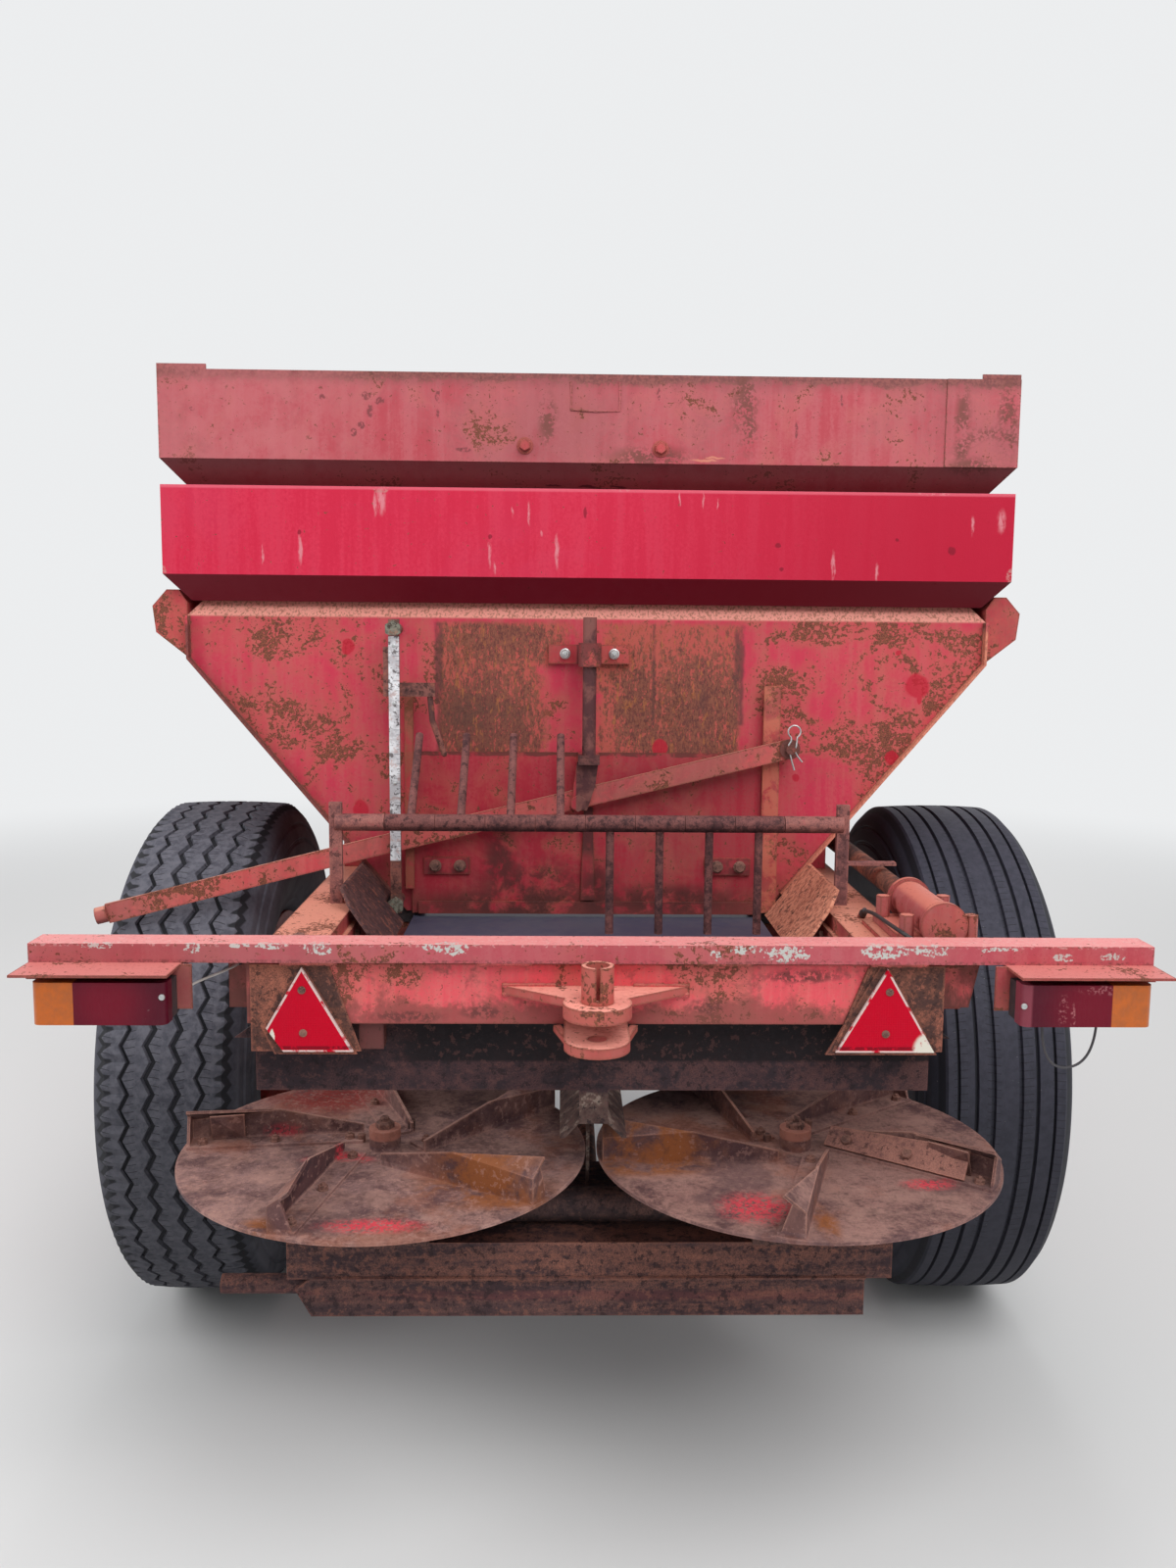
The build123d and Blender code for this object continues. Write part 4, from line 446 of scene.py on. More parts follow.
def hopper_marks(look):
    plain = look.colour
    outward = look.faces("Y").step(-0.1, -0.3)
    cloud = look.noise(9, 5, 0.66, bend=0.5)
    streak = look.noise(1.0, 5, 0.7, stretch=(95, 95, 34))
    flecks = look.noise(170, 3, 0.65, stretch=(1.3, 1, 0.7))
    area = look.patch((-314, 318), None, (1292, 1570), 7)
    clean = look.dabs(WALL, (-60, 1400, 85, 1.3, 0.7), (-30, 1310, 70), (0, 1540, 40, 1, 0.8), soft=0.7)
    dense = look.dabs(
        WALL, (-215, 1365, 105, 0.9), (235, 1390, 85, 0.8, 0.8), (-190, 1530, 90, 0.8, 1.8),
        (100, 1400, 60, 1.2, 0.7), (200, 1320, 80, 0.7, 1.6), soft=0.8)
    worn = area * (cloud + dense * 0.3 + clean * -0.25).step(0.3, 0.5)
    look.lay(worn * 0.8, (180, 90, 76))
    grit = look.noise(330, 3, 0.7, stretch=(1, 1, 0.45))
    core = worn * (streak * 0.42 + flecks * 0.33 + grit * 0.25 + dense * 0.1).step(0.515, 0.555)
    look.lay(core * 0.85, look.mix(grit.step(0.42, 0.58), (82, 54, 50), (132, 84, 66)))
    brown = area * look.dabs(
        WALL, (-235, 1350, 75, 0.9, 0.9), soft=0.9) * (cloud + grit * 0.7).step(0.8, 0.92)
    look.lay(brown * 0.7, (92, 64, 56))
    amber = worn * look.noise(60, 4, 0.7, stretch=(1.6, 1, 0.4), shift=(9, 0, 0)).step(0.6, 0.64)
    look.lay(amber * 0.6, (176, 108, 66))
    broken = look.noise(30, 5, 0.7, stretch=(1, 1, 0.4)).step(0.3, 0.48)
    bands = look.most(
        look.patch((-322, -306), None, (1400, 1569)), look.patch((-320, -310), None, (1167, 1400)) * 0.7,
        look.patch((133, 139), None, (1358, 1563), 2) * 0.8, look.patch((306, 326), None, (1359, 1569)),
        look.patch((232, 246), None, (1380, 1500)) * 0.6)
    look.lay(bands * broken * 0.75, (88, 58, 56))
    flange = look.band("Z", 1579, 1612, 3)
    look.lay(flange * 0.85, (240, 166, 150))
    look.lay(flange * flecks.step(0.5, 0.6) * 0.7, (146, 100, 76))
    red = look.dabs(
        WALL, (694, 1445, 25), (646, 1293, 15), (301, 1196, 19), (442, 1248, 9), (-503, 1517, 13, 1, 0.8),
        (652, 1515, 7), (700, 1420, 12, 2.4, 0.8), (152, 1310, 16, 1, 0.8), (-480, 1170, 16, 1, 0.6),
        soft=0.15)
    look.lay(red * 0.8, (190, 26, 52))
    foot = look.z.step(1.2, 1.02) * cloud.step(0.35, 0.6)
    look.lay(foot * 0.45, (128, 62, 58))
    # painted light and shade on the proud side edges: the right one lit pale, the left one shaded dark
    proud = look.band("Y", -360, -337, 1) * look.z.step(1.57, 1.55)
    sides = look.mix(look.x.step(-0.1, 0.1), (104, 62, 60), (222, 140, 116))
    sides = look.mix(flecks.step(0.46, 0.58) * 0.5, sides, (140, 86, 70))
    look.colour = look.mix(proud * 0.85, look.mix(outward, plain, look.colour), sides)


def gate_marks(look):
    cloud = look.noise(22, 5, 0.66, bend=0.4)
    foot = look.z.step(1.03, 0.97)
    look.lay(foot * cloud.step(0.3, 0.52) * 0.7, (104, 58, 52))
    smear = look.dabs(
        GATE, (-185, 1060, 34, 1, 0.45), (-120, 1010, 60, 0.55, 1.1), (-150, 975, 60, 0.4, 2),
        (175, 985, 60, 0.5, 2), (20, 1000, 40, 1, 0.6), (-330, 1120, 20, 1.4, 0.4), soft=0.6)
    look.lay(smear * cloud.step(0.36, 0.54) * 0.85, (84, 48, 46))
    wear = look.most(
        look.patch((-346, -250), (-356, -351), (1040, 1076), 2),
        look.patch((250, 346), (-356, -351), (1040, 1076), 2))
    look.lay(wear * cloud.step(0.34, 0.5) * 0.7, (96, 56, 54))
    strap = look.patch((-15, 17), (-358, -351), (980, 1190), 2)
    look.lay(strap * look.z.step(1.06, 1.1) * 0.85, (70, 44, 44))
    rim = look.patch(None, (-356, -340), (1292, 1302), 1)
    look.lay(rim * cloud.step(0.36, 0.5) * 0.8, (92, 56, 50))
    # the rod, its seat and the fork's leg
    rod = look.band("X", -26, 24, 2) * look.y.step(-0.371 + AXLE_Y, -0.375 + AXLE_Y)
    rusty = look.mix(cloud.step(0.4, 0.6), (72, 50, 52), (126, 84, 78))
    look.lay(rod * 0.92, rusty)


def guide_marks(look):
    cloud = look.noise(30, 5, 0.66, bend=0.4)
    bar = look.x.step(0.36, 0.365) * cloud.step(0.4, 0.56)
    look.lay(bar * 0.5, (214, 128, 100))
    left = look.x.step(-0.36, -0.365)
    look.lay(left * cloud.step(0.34, 0.56) * 0.7, (150, 90, 70))
    collar = look.band("X", -26, 26, 2) * cloud.step(0.36, 0.52)
    look.lay(collar * 0.75, (88, 54, 54))
    # painted shade: a dark, mottled patch round the pivot pin's base
    pivot = look.spot(419, -372, 1313, 30, (1, 0.5, 1), 0.1)
    look.lay(pivot * cloud.step(0.3, 0.5) * 0.85, (92, 62, 60))


def scale_marks(look):
    x, low, high = -398, 1079, 1540
    grain = look.noise(140, 3, 0.6)
    cloud = look.noise(26, 4, 0.6)
    rust = look.mix((cloud + grain * 0.4).step(0.58, 0.78), (146, 92, 84), (86, 54, 54))
    look.lay(0.75, rust)
    rule = look.band("Z", low, high, 1) * look.y.step(
        -0.4095 + AXLE_Y, -0.4105 + AXLE_Y) * look.band("X", x - 11, x + 11, 1)
    white = look.mix((cloud + grain * 0.3).step(0.5, 0.78) * 0.8, (240, 241, 244), (176, 172, 176))
    look.lay(rule, white)
    height = look.z * 100.0
    fine = height.math("PINGPONG", 0.5).step(0.09, 0.05)
    long = (height * 0.2).math("PINGPONG", 0.5).step(0.022, 0.014)
    ticks = look.most(fine * look.band("X", x + 4, x + 11, 0.5), long * look.band("X", x - 2, x + 11, 0.5))
    look.lay(rule * ticks * 0.6, (110, 110, 118))
    heads = look.most(look.z.step(1.541, 1.545), look.z.step(1.01, 1.005))
    bolt = heads * look.y.step(-0.4105 + AXLE_Y, -0.4125 + AXLE_Y)
    look.lay(bolt, look.mix(grain.step(0.42, 0.62), (132, 130, 116), (98, 92, 82)))


def bar_marks(look):
    flecks = look.noise(150, 4, 0.68)
    chips = look.dabs(
        BAR, (-633, 1058, 16, 0.9, 1.2), (-512, 1060, 22, 0.7, 3), (-560, 1061, 18, 0.6, 4),
        (-229, 1058, 30, 0.8, 2), (-265, 1060, 14, 1, 2), (457, 1055, 34, 0.7, 2), (530, 1056, 26, 0.6, 2),
        (300, 1049, 40, 0.9, 2.2), (-437, 1058, 22, 0.7, 1.5), (188, 1047, 12), (236, 1056, 20, 0.6, 2),
        (743, 1045, 16, 0.6, 2), (820, 1046, 14, 0.5, 2), (640, 1058, 20, 0.5, 4), (-780, 1060, 22, 0.5, 4),
        soft=0.4)
    look.lay((chips * flecks).step(0.485, 0.515), BARE)
    line = look.band("Z", 1059, 1064, 1.5) * flecks.step(0.56, 0.6)
    look.lay(line * 0.5, (226, 186, 180))
    low = look.band("Z", 1032, 1038, 2) * flecks.step(0.48, 0.56)
    look.lay(low * 0.55, (104, 62, 60))


def beam_marks(look):
    cloud = look.noise(12, 5, 0.68, bend=0.5)
    flecks = look.noise(130, 4, 0.68)
    low = look.z.step(0.985, 0.935)
    share = (cloud * 0.8 + low * 0.22 + flecks * 0.2).step(0.52, 0.66)
    look.lay(share * 0.7, (124, 72, 66))
    ends = look.most(look.x.step(-0.5, -0.556), look.x.step(0.556, 0.566))
    look.lay(ends * cloud.step(0.36, 0.56) * 0.75, (106, 66, 60))
    spots = look.dabs(
        BEAM, (-180, 948, 22, 0.7, 2.2), (180, 958, 20, 0.8, 1.8), (330, 1008, 30, 0.5, 3),
        (-300, 940, 26, 0.5, 3), soft=0.5)
    look.lay(spots * flecks.step(0.42, 0.54) * 0.8, (96, 56, 54))
    look.lay(look.z.step(0.929, 0.926) * 0.8, (80, 52, 50))


def inside_hopper(look):
    """1 on the faces that look into the hopper."""
    across = look.faces("X") * look.x
    along = look.faces("Y") * (look.y - (0.69 + AXLE_Y))
    return (across + along).math("MINIMUM", 0.0).step(-0.02, -0.1)


def disc_marks(side):
    def marks(look):
        cloud = look.noise(16, 5, 0.68, bend=0.5)
        flecks = look.noise(150, 4, 0.66)
        flat = look.faces("Z").step(0.5, 0.9)
        dust = (cloud * 0.7 + flecks * 0.3).step(0.4, 0.62)
        look.lay(flat * dust * 0.6, (176, 136, 124))
        warm = look.noise(5, 5, 0.66, shift=(4, 0, side)).step(0.52, 0.64)
        look.lay(warm * 0.45, (152, 88, 62))
        cold = look.noise(6, 5, 0.66, shift=(1, 6, side)).step(0.54, 0.64)
        look.lay(cold * 0.5, (72, 50, 58))
        # painted shade: the vanes' upright faces are darkened, mottled in rust tones
        upright = look.z.step(0.644, 0.648) * (1 - flat)
        look.lay(upright * 0.55, look.mix(cloud.step(0.42, 0.58), (70, 44, 48), (120, 82, 74)))
        # painted highlight along the vanes' top edges
        crest = look.edges(0.004) * look.z.step(0.644, 0.65)
        look.lay(crest * 0.75, (200, 146, 126))
        # painted shade: a deeper darkening in the channel of the left disc's front vane
        if side < 0:
            dark = look.spot(-462, -1004, 668, 172, (1.9, 1, 1), 0.15) * upright
            look.lay(dark * 0.8, look.mix(cloud.step(0.4, 0.6), (56, 36, 44), (84, 54, 58)))
        hub = look.spot(side * DISC_X, DISC_Y, 690, 46, (1, 1, 1), 0.1) * look.z.step(0.655, 0.66)
        look.lay(hub * 0.7, (184, 118, 100))
        if side < 0:
            amber = [
                (-180, -1003, 655, 90, (0.9, 1.6, 1)), (-150, -1035, 637, 50, (0.7, 1.4, 1)),
                (-515, -1130, DISC_TOP, 26, (0.8, 1, 1))]
            pink = [
                (-440, -880, DISC_TOP, 30, (0.6, 1.8, 1)), (-560, -766, 650, 22, (0.6, 1, 1.4)),
                (-345, -1128, DISC_TOP, 34, (0.5, 1.6, 1))]
            red = [(-500, -590, DISC_TOP, 75, (0.7, 1.1, 1))]
        else:
            amber = [
                (100, -888, 655, 85, (0.8, 1.6, 1)), (90, -915, 637, 60, (0.6, 2, 1)),
                (363, -1118, DISC_TOP, 36, (2.2, 0.7, 1))]
            pink = [
                (262, -1068, DISC_TOP, 46, (0.9, 1, 1)), (563, -983, DISC_TOP, 26, (0.7, 1.4, 1)),
                (553, -890, 655, 34, (0.8, 2.6, 3)), (640, -925, 690, 24, (0.8, 1, 1.6))]
            red = []
        if red:
            look.lay(look.spots(red, 0.6) * flecks.step(0.34, 0.52) * 0.8, (150, 42, 40))
        look.lay(look.spots(amber, 0.6) * cloud.step(0.36, 0.56) * 0.85, (150, 86, 40))
        look.lay(look.spots(pink, 0.6) * flecks.step(0.4, 0.54) * 0.9, (226, 66, 82))

    return marks


def deflector_marks(look):
    below = look.z.step(0.8, 0.79)
    crust = look.noise(30, 5, 0.7)
    look.lay(below * 0.8, look.mix(crust.step(0.36, 0.6), (70, 50, 46), (104, 82, 74)))
    look.lay(below * crust.step(0.55, 0.62) * 0.6, (160, 142, 130))
    shade = look.z.step(0.846, 0.853) * look.x.step(-0.36, -0.28)
    look.lay(shade * 0.9, (14, 8, 14))


def chute_marks(look):
    grain = look.noise(90, 4, 0.66)
    # painted light and shade: the plates on the right are lit pale, those on the left shaded dark
    right = look.mix(grain.step(0.42, 0.62), (224, 150, 122), (172, 104, 84))
    left = look.mix(grain.step(0.42, 0.62), (58, 42, 48), (84, 58, 58))
    look.colour = look.mix(
        look.x.step(-0.05, 0.05), look.mix(0.85, look.colour, left), look.mix(0.85, look.colour, right))


def beam_rust(look):
    """The spinner's beam: dark under the discs, with a band of old red low down."""
    streak = look.noise(1.0, 5, 0.66, stretch=(6, 20, 60))
    look.lay(streak.step(0.46, 0.62) * 0.45, (66, 50, 54))
    low = look.band("Z", 384, 402, 4) * streak.step(0.36, 0.56)
    look.lay(low * 0.2, (150, 74, 70))


def triangle_edge(look):
    """White border along the triangle's three sides."""
    across = abs(abs(look.x) - 0.466)
    side = across + (look.z - 1.023) * (80 / 138)
    flecks = look.noise(70, 4, 0.7)
    border = look.most(look.z.step(0.8885, 0.8875), side.step(-0.0042, -0.0034))
    look.lay(border * look.noise(40, 4, 0.6).step(0.36, 0.46) * 0.85, (224, 206, 200))
    crack = look.z.step(0.896, 0.893) * look.z.step(0.888, 0.89)
    look.lay(crack * flecks.step(0.42, 0.5) * 0.7, (96, 12, 26))
    broken = look.spots(
        [(536, -1039, 892, 24, (1, 1, 1)), (-514, -1039, 906, 8, (2, 1, 0.5)),
        (548, -1039, 884, 14, (0.5, 1, 1))], 0.15)
    look.lay(broken * flecks.step(0.36, 0.44), (226, 220, 206))


def lens_marks(look):
    # clear end and a scratch on the right lens
    clear = look.x.step(0.673, 0.668) * look.x.step(0.0, 0.01)
    look.lay(clear * 0.35, (186, 96, 110))
    # painted reflection: a brighter patch in the middle of each lens
    bright = look.spots([(765, -1117, 985, 44, (0.8, 1, 0.7)), (-745, -1117, 990, 40, (0.8, 1, 0.7))], 0.7)
    look.lay(bright * 0.45, (140, 8, 38))
    scratch = look.spots(
        [(720, -1117, 980, 22, (3, 1, 1)), (735, -1117, 970, 14, (4, 1, 0.8)),
        (800, -1117, 1012, 30, (0.6, 1, 4))], 0.4)
    look.lay(scratch * look.noise(160, 3, 0.7).step(0.5, 0.6) * 0.6, (190, 120, 124))


def prisms(look):
    """Fine upright and level ribs inside a lens."""
    up = (look.x * 130.0).math("PINGPONG", 0.5)
    level = (look.z * 90.0).math("PINGPONG", 0.5)
    return up * 1.6 + level * 0.8


def beads(look):
    """Cells of a reflector."""
    cells = look.node("TexVoronoi", Vector=look.place, Scale=260, Randomness=0.1)
    return Value(look, cells.outputs["Distance"])


def around(look):
    """Distance from a wheel's axis and way round it, in metres."""
    y = look.y - AXLE_Y
    z = look.z - TYRE_R * MM
    reach = (y * y + z * z).math("SQRT")
    return reach, y.math("ARCTAN2", z) * (TYRE_R * MM)


def sipes(look, spread):
    """Short curved cuts across the ribs, one each 16 mm."""
    reach, round_ = around(look)
    x = abs(look.x)
    sway = (x * spread).math("SINE") * 0.004
    cut = ((round_ + sway) * 62.5).math("PINGPONG", 0.5).step(0.07, 0.03)
    rib = (x * (spread * 2.0)).math("SINE").step(0.1, 0.4)
    return cut * rib * reach.step(0.5605, 0.5615)


def tread_marks(dark, spread, chip):
    def marks(look):
        reach, _ = around(look)
        grain = look.noise(60, 4, 0.66)
        tread = reach.step(0.556, 0.563)
        look.lay(tread * grain.step(0.34, 0.66) * 0.55, chip)
        # painted shade: the tread is darkened below its face, in the grooves and down the shoulders
        look.lay(reach.step(0.5622, 0.5606) * reach.step(0.548, 0.552) * 0.9, dark)
        low = look.z.step(0.95, 0.45)
        look.lay(low * 0.45, dark)
        wall = reach.step(0.545, 0.535) * look.noise(9, 4, 0.6).step(0.36, 0.62)
        look.lay(wall * 0.35, chip)
        look.lay(sipes(look, spread) * 0.8, dark)

    return marks


# each material, and the CAD nodes that wear it
painted(
    "upper_paint", "upper_boards_ends upper_boards_sides", (182, 72, 82), (186, 98, 104), fade=0.85,
    speck=170, halo=0.35, rust=0.32, edge=0.4, top=(168, 104, 100), rough=0.5, under=0.8, inner=inside_hopper,
    after=upper_marks)
painted(
    "lower_paint", "lower_boards_ends lower_boards_sides", (206, 36, 68), (206, 44, 76), fade=0.5, rust=-0.3,
    dirt=0.03, edge=0.05, halo=0.0, top=(222, 84, 104), rough=0.4, under=0.86, inner=inside_hopper,
    after=lower_marks)
painted(
    "hopper_rear_paint", "hopper_rear", (204, 58, 82), (192, 92, 90), fade=0.45, rust=0.46, speck=130,
    dirt=0.12, edge=0.5, inner=inside_hopper, where=hopper_where, after=hopper_marks)
painted(
    "hopper_paint", "hopper_front hopper_sides hopper_brackets", RED, RED_FADED, rust=0.42, halo=0.7,
    inner=inside_hopper)
painted("rim_edge_paint", "hopper_rims", (188, 64, 72), (186, 88, 80), dirt=0.3, edge=1.0, top=SALMON)
painted("gate_paint", "gate", (176, 46, 62), (172, 66, 70), fade=0.5, rust=0.40, edge=0.7, after=gate_marks)
painted(
    "guide_paint", "gate_guides", (180, 52, 62), (180, 78, 76), rust=0.45, dirt=0.3, edge=0.9,
    after=guide_marks)
painted(
    "rail_paint", "frame_rails shaft_brackets roller_plates", (166, 66, 68), (172, 88, 82), fade=0.7,
    dirt=0.4, top=(218, 146, 124))
painted(
    "beam_paint", "rear_cross_beam", (232, 88, 98), (230, 118, 112), speck=200, top=(200, 120, 104),
    after=beam_marks)
painted(
    "front_paint", "front_cross_beam drawbar_arms drawbar_nose jack_tube", (180, 58, 66), (184, 88, 84),
    rust=0.42, dirt=0.35, edge=0.9, top=(200, 124, 108))
painted(
    "bar_paint", "light_bar", (186, 82, 92), (186, 98, 102), fade=0.7, rust=0.26, speck=170, dirt=0.2,
    edge=0.3, halo=0.3, top=(232, 150, 148), rough=0.5, under=0.4, after=bar_marks)
painted("hood_paint", "lamp_hoods", (168, 66, 72), (172, 92, 88), dirt=0.4, top=(214, 128, 122))
painted(
    "lever_paint", "lever", (208, 82, 88), (206, 110, 104), fade=0.7, rust=0.62, speck=120, dirt=0.4,
    edge=0.9, top=(206, 138, 120))
rusted(
    "guard_rust", "guard_rail", dark=(106, 68, 68), mid=(150, 96, 92), light=(176, 112, 102),
    paint=(172, 92, 92), left=0.35)
rusted("finger_rust", "guard_fingers", dark=(74, 44, 46), mid=(112, 66, 66), light=(146, 92, 86))
rusted("scale_rust", "scale_bar", under=0.2, after=scale_marks)
rusted("chute_rust", "chute_plates", under=0.1, after=chute_marks)
rusted(
    "deflector_rust", "rear_deflector", dark=(46, 34, 40), mid=(78, 52, 54), light=(104, 68, 64),
    after=deflector_marks)
rusted("plate_rust", "reflector_plates drive_hangers", light=(186, 112, 90))
rusted(
    "left_disc_rust", "left_disc", dark=(96, 68, 68), mid=(152, 118, 114), light=(190, 146, 134), pitted=0.22,
    soft=0.11, after=disc_marks(-1))
rusted(
    "right_disc_rust", "right_disc", dark=(90, 62, 62), mid=(130, 96, 92), light=(168, 126, 116), pitted=0.22,
    soft=0.11, after=disc_marks(1))
rusted(
    "stay_rust", "", dark=(112, 76, 72), mid=(150, 104, 94), light=(178, 124, 108), paint=(214, 74, 88),
    left=0.12)
rusted(
    "carrier_rust", "spinner_beam", dark=(60, 42, 46), mid=(110, 76, 70), light=(152, 98, 80),
    run=(0.4, 1, 2.2), after=beam_rust)
rusted("box_rust", "gearboxes spinner_hangers", dark=(56, 42, 44), mid=(86, 62, 60), light=(120, 84, 74))
painted("wheel_paint", "left_rim right_rim", (150, 52, 54), (150, 76, 70), rust=0.6, dirt=0.6)
painted("running_paint", "axle belt_cross_tubes", (140, 52, 56), (144, 74, 70), rust=0.55, dirt=0.6)
painted(
    "drum_paint", "shaft_housing", (172, 84, 84), (174, 108, 102), fade=0.5, rust=0.36, dirt=0.3, edge=0.9,
    top=(210, 126, 110))
painted(
    "hitch_paint", "rear_hitch", (186, 84, 80), (180, 98, 88), fade=0.7, rust=0.55, speck=110, dirt=0.2,
    edge=0.9, top=(246, 166, 150))
rusted("shaft_rust", "side_shaft drive_shaft", paint=(150, 62, 60), left=0.3)
covered("belt_rubber", "belt", (66, 68, 90), (96, 94, 104))
covered(
    "left_tyre_rubber", "left_tyre", (66, 66, 76), (102, 102, 112), rough=0.72, white=0.15,
    after=tread_marks((20, 20, 25), 63.0, (116, 115, 124)))
covered(
    "right_tyre_rubber", "right_tyre", (44, 44, 56), (68, 68, 80), dusty=0.5, rough=0.62, white=0.5,
    after=tread_marks((18, 18, 26), 47.0, (68, 66, 80)))
metal("worn_steel", "belt_rollers jack_leg", (168, 166, 162))
metal("zinc", "", (196, 198, 198), 0.34, share=0.25)
rusted("bolt_rust", "", dark=(84, 58, 54), mid=(122, 84, 76), light=(156, 112, 98))
painted("bolt_paint", "", (190, 74, 78), (188, 96, 92), edge=0.9, fade=0.5, dirt=0.2)
covered("lamp_black", "lamp_housings", (40, 38, 42), (88, 70, 70))
covered(
    "lens_red", "tail_lenses", (80, 6, 30), (84, 28, 42), dusty=0.4, rough=0.3, white=0.15, coat=0.1,
    shine=0.2, after=lens_marks, height=prisms)
covered(
    "lens_amber", "indicator_lenses", (196, 96, 18), (136, 80, 46), rough=0.3, white=0.1, coat=0.3,
    height=prisms)
covered(
    "reflector_red", "reflector_triangles", (196, 4, 38), (190, 20, 48), dusty=0.3, rough=0.35, white=0.0,
    coat=0.04, shine=0.08, after=triangle_edge, height=beads)
covered("cable_black", "rail_cable", (38, 38, 42), (90, 84, 82), dusty=0.4)
covered("wire_pale", "left_lamp_wire", (186, 182, 178), (150, 138, 130), dusty=0.5, white=0.0)
covered("wire_grey", "right_lamp_wire", (72, 70, 74), (110, 100, 96), dusty=0.4, white=0.0)
covered("grip_rubber", "", (38, 38, 40), (80, 76, 74), dusty=0.5, rough=0.6)


# ---------------------------------------------------------------- small pieces
def link(name, data, look, body):
    piece = bpy.data.objects.new(name, data)
    data.materials.append(MADE[look])
    bpy.context.scene.collection.objects.link(piece)
    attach(piece, body)
    return piece


# the slot in the record, by the last word of a material's name
FINISH = {"paint": "faded_red", "rust": "rust", "zinc": "zinc"}


class Batch:
    """Small pieces of one material on one body, in one mesh. Millimetres from the axle."""

    def __init__(self, name, look, body="chassis", smooth=35):
        self.name, self.look, self.body, self.smooth = name, look, body, smooth
        self.mesh = bmesh.new()
        self.chance = random.Random(name)

    def rings(self, loops):
        """Skin over closed loops of points, with its two ends closed."""
        rows = [[self.mesh.verts.new(at(*p)) for p in loop] for loop in loops]
        count = len(rows[0])
        for low, high in zip(rows, rows[1:]):
            for i in range(count):
                j = (i + 1) % count
                self.mesh.faces.new((low[i], low[j], high[j], high[i]))
        self.mesh.faces.new(rows[0][::-1])
        self.mesh.faces.new(rows[-1])

    def turned(self, centre, direction, profile, sides=20, turn=0.0):
        """Profile of radius and height, turned round a direction."""
        axis = Vector(direction).normalized()
        across = axis.orthogonal().normalized()
        other = axis.cross(across)
        angles = [turn + 2 * math.pi * i / sides for i in range(sides)]
        loops = []
        for radius, height in profile:
            middle = Vector(centre) + axis * height
            loops.append([middle + (across * math.cos(a) + other * math.sin(a)) * radius for a in angles])
        self.rings(loops)

    def bolt(self, centre, direction, across, head, washer=0.0):
        """Hexagon head, on a washer where that has a radius."""
        base = 0.0
        if washer:
            base = 2.2
            self.turned(centre, direction, [(washer, 0), (washer, base * 0.8), (washer - 0.8, base)], 28)
        radius = across / math.sqrt(3)
        turn = self.chance.uniform(0, 1)
        self.turned(
            centre, direction, [(radius, base), (radius, base + head * 0.78), (radius * 0.86, base + head)],
            6, turn)

    def stud(self, centre, direction, radius, length):
        self.turned(centre, direction, [(radius, 0), (radius, length - 1), (radius * 0.75, length)], 14)

    def plate(self, corners, lift):
        """Flat plate over corners given in order, thick by a vector."""
        lift = Vector(lift)
        self.rings([corners, [Vector(c) + lift for c in corners]])

    def wire(self, points, radius, sides=8, uneven=0.0):
        """Round wire along points; uneven makes it a weld bead."""
        points = [Vector(p) for p in points]
        angles = [2 * math.pi * k / sides for k in range(sides)]
        up = None
        loops = []
        for i, point in enumerate(points):
            along = (points[min(i + 1, len(points) - 1)] - points[max(i - 1, 0)]).normalized()
            if up is None:
                up = along.orthogonal().normalized()
            up = (up - along * up.dot(along)).normalized()
            side = along.cross(up)
            size = radius * (1 + uneven * self.chance.uniform(-1, 1))
            loops.append([point + (up * math.cos(a) + side * math.sin(a)) * size for a in angles])
        self.rings(loops)

    def bead(self, start, end, radius=4.0):
        """Weld bead along a straight joint."""
        start, end = Vector(start), Vector(end)
        count = max(4, int((end - start).length / 5))
        self.wire([start.lerp(end, i / count) for i in range(count + 1)], radius, 6, 0.28)

    def done(self):
        data = bpy.data.meshes.new(self.name)
        bmesh.ops.recalc_face_normals(self.mesh, faces=self.mesh.faces)
        self.mesh.to_mesh(data)
        self.mesh.free()
        data.polygons.foreach_set("use_smooth", [True] * len(data.polygons))
        data.set_sharp_from_angle(angle=math.radians(self.smooth))
        link(self.name, data, self.look, self.body)
        FINISH.get(self.look.split("_")[-1], "lamp_black")


# ---------------------------------------------------------------- cords
def cord(node, route, diameter, look):
    """Cord along its route's points, in place of its CAD node."""
    curve = bpy.data.curves.new(node + "_cord", "CURVE")
    curve.dimensions = "3D"
    curve.bevel_depth = diameter * MM / 2
    curve.bevel_resolution = 4
    curve.resolution_u = 16
    curve.use_fill_caps = True
    spline = curve.splines.new("NURBS")
    spline.points.add(len(route) - 1)
    for point, place in zip(spline.points, route):
        point.co = (*at(*place), 1)
    spline.order_u = 3
    spline.use_endpoint_u = True
    piece = link(node + "_cord", curve, look, "chassis")
    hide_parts(node)


rail_route = [
    (506.40, -696.41, 1035.41), (505.50, -721.04, 1052.53), (502, -938, 1066), (530, -965, 1050),
    (530, -990, 1050)]
left_route = [(-642, -1057, 993), (-642, -1027, 993), (-575, -1013, 1017), (-575, -982, 1017)]
right_route = [(791, -1074, 956), (791, -1074, 878), (704, -1074, 869), (704, -1074, 956)]
cord("rail_cable", rail_route, 7, "cable_black")
cord("left_lamp_wire", left_route, 4, "wire_pale")
cord("right_lamp_wire", right_route, 4, "wire_grey")


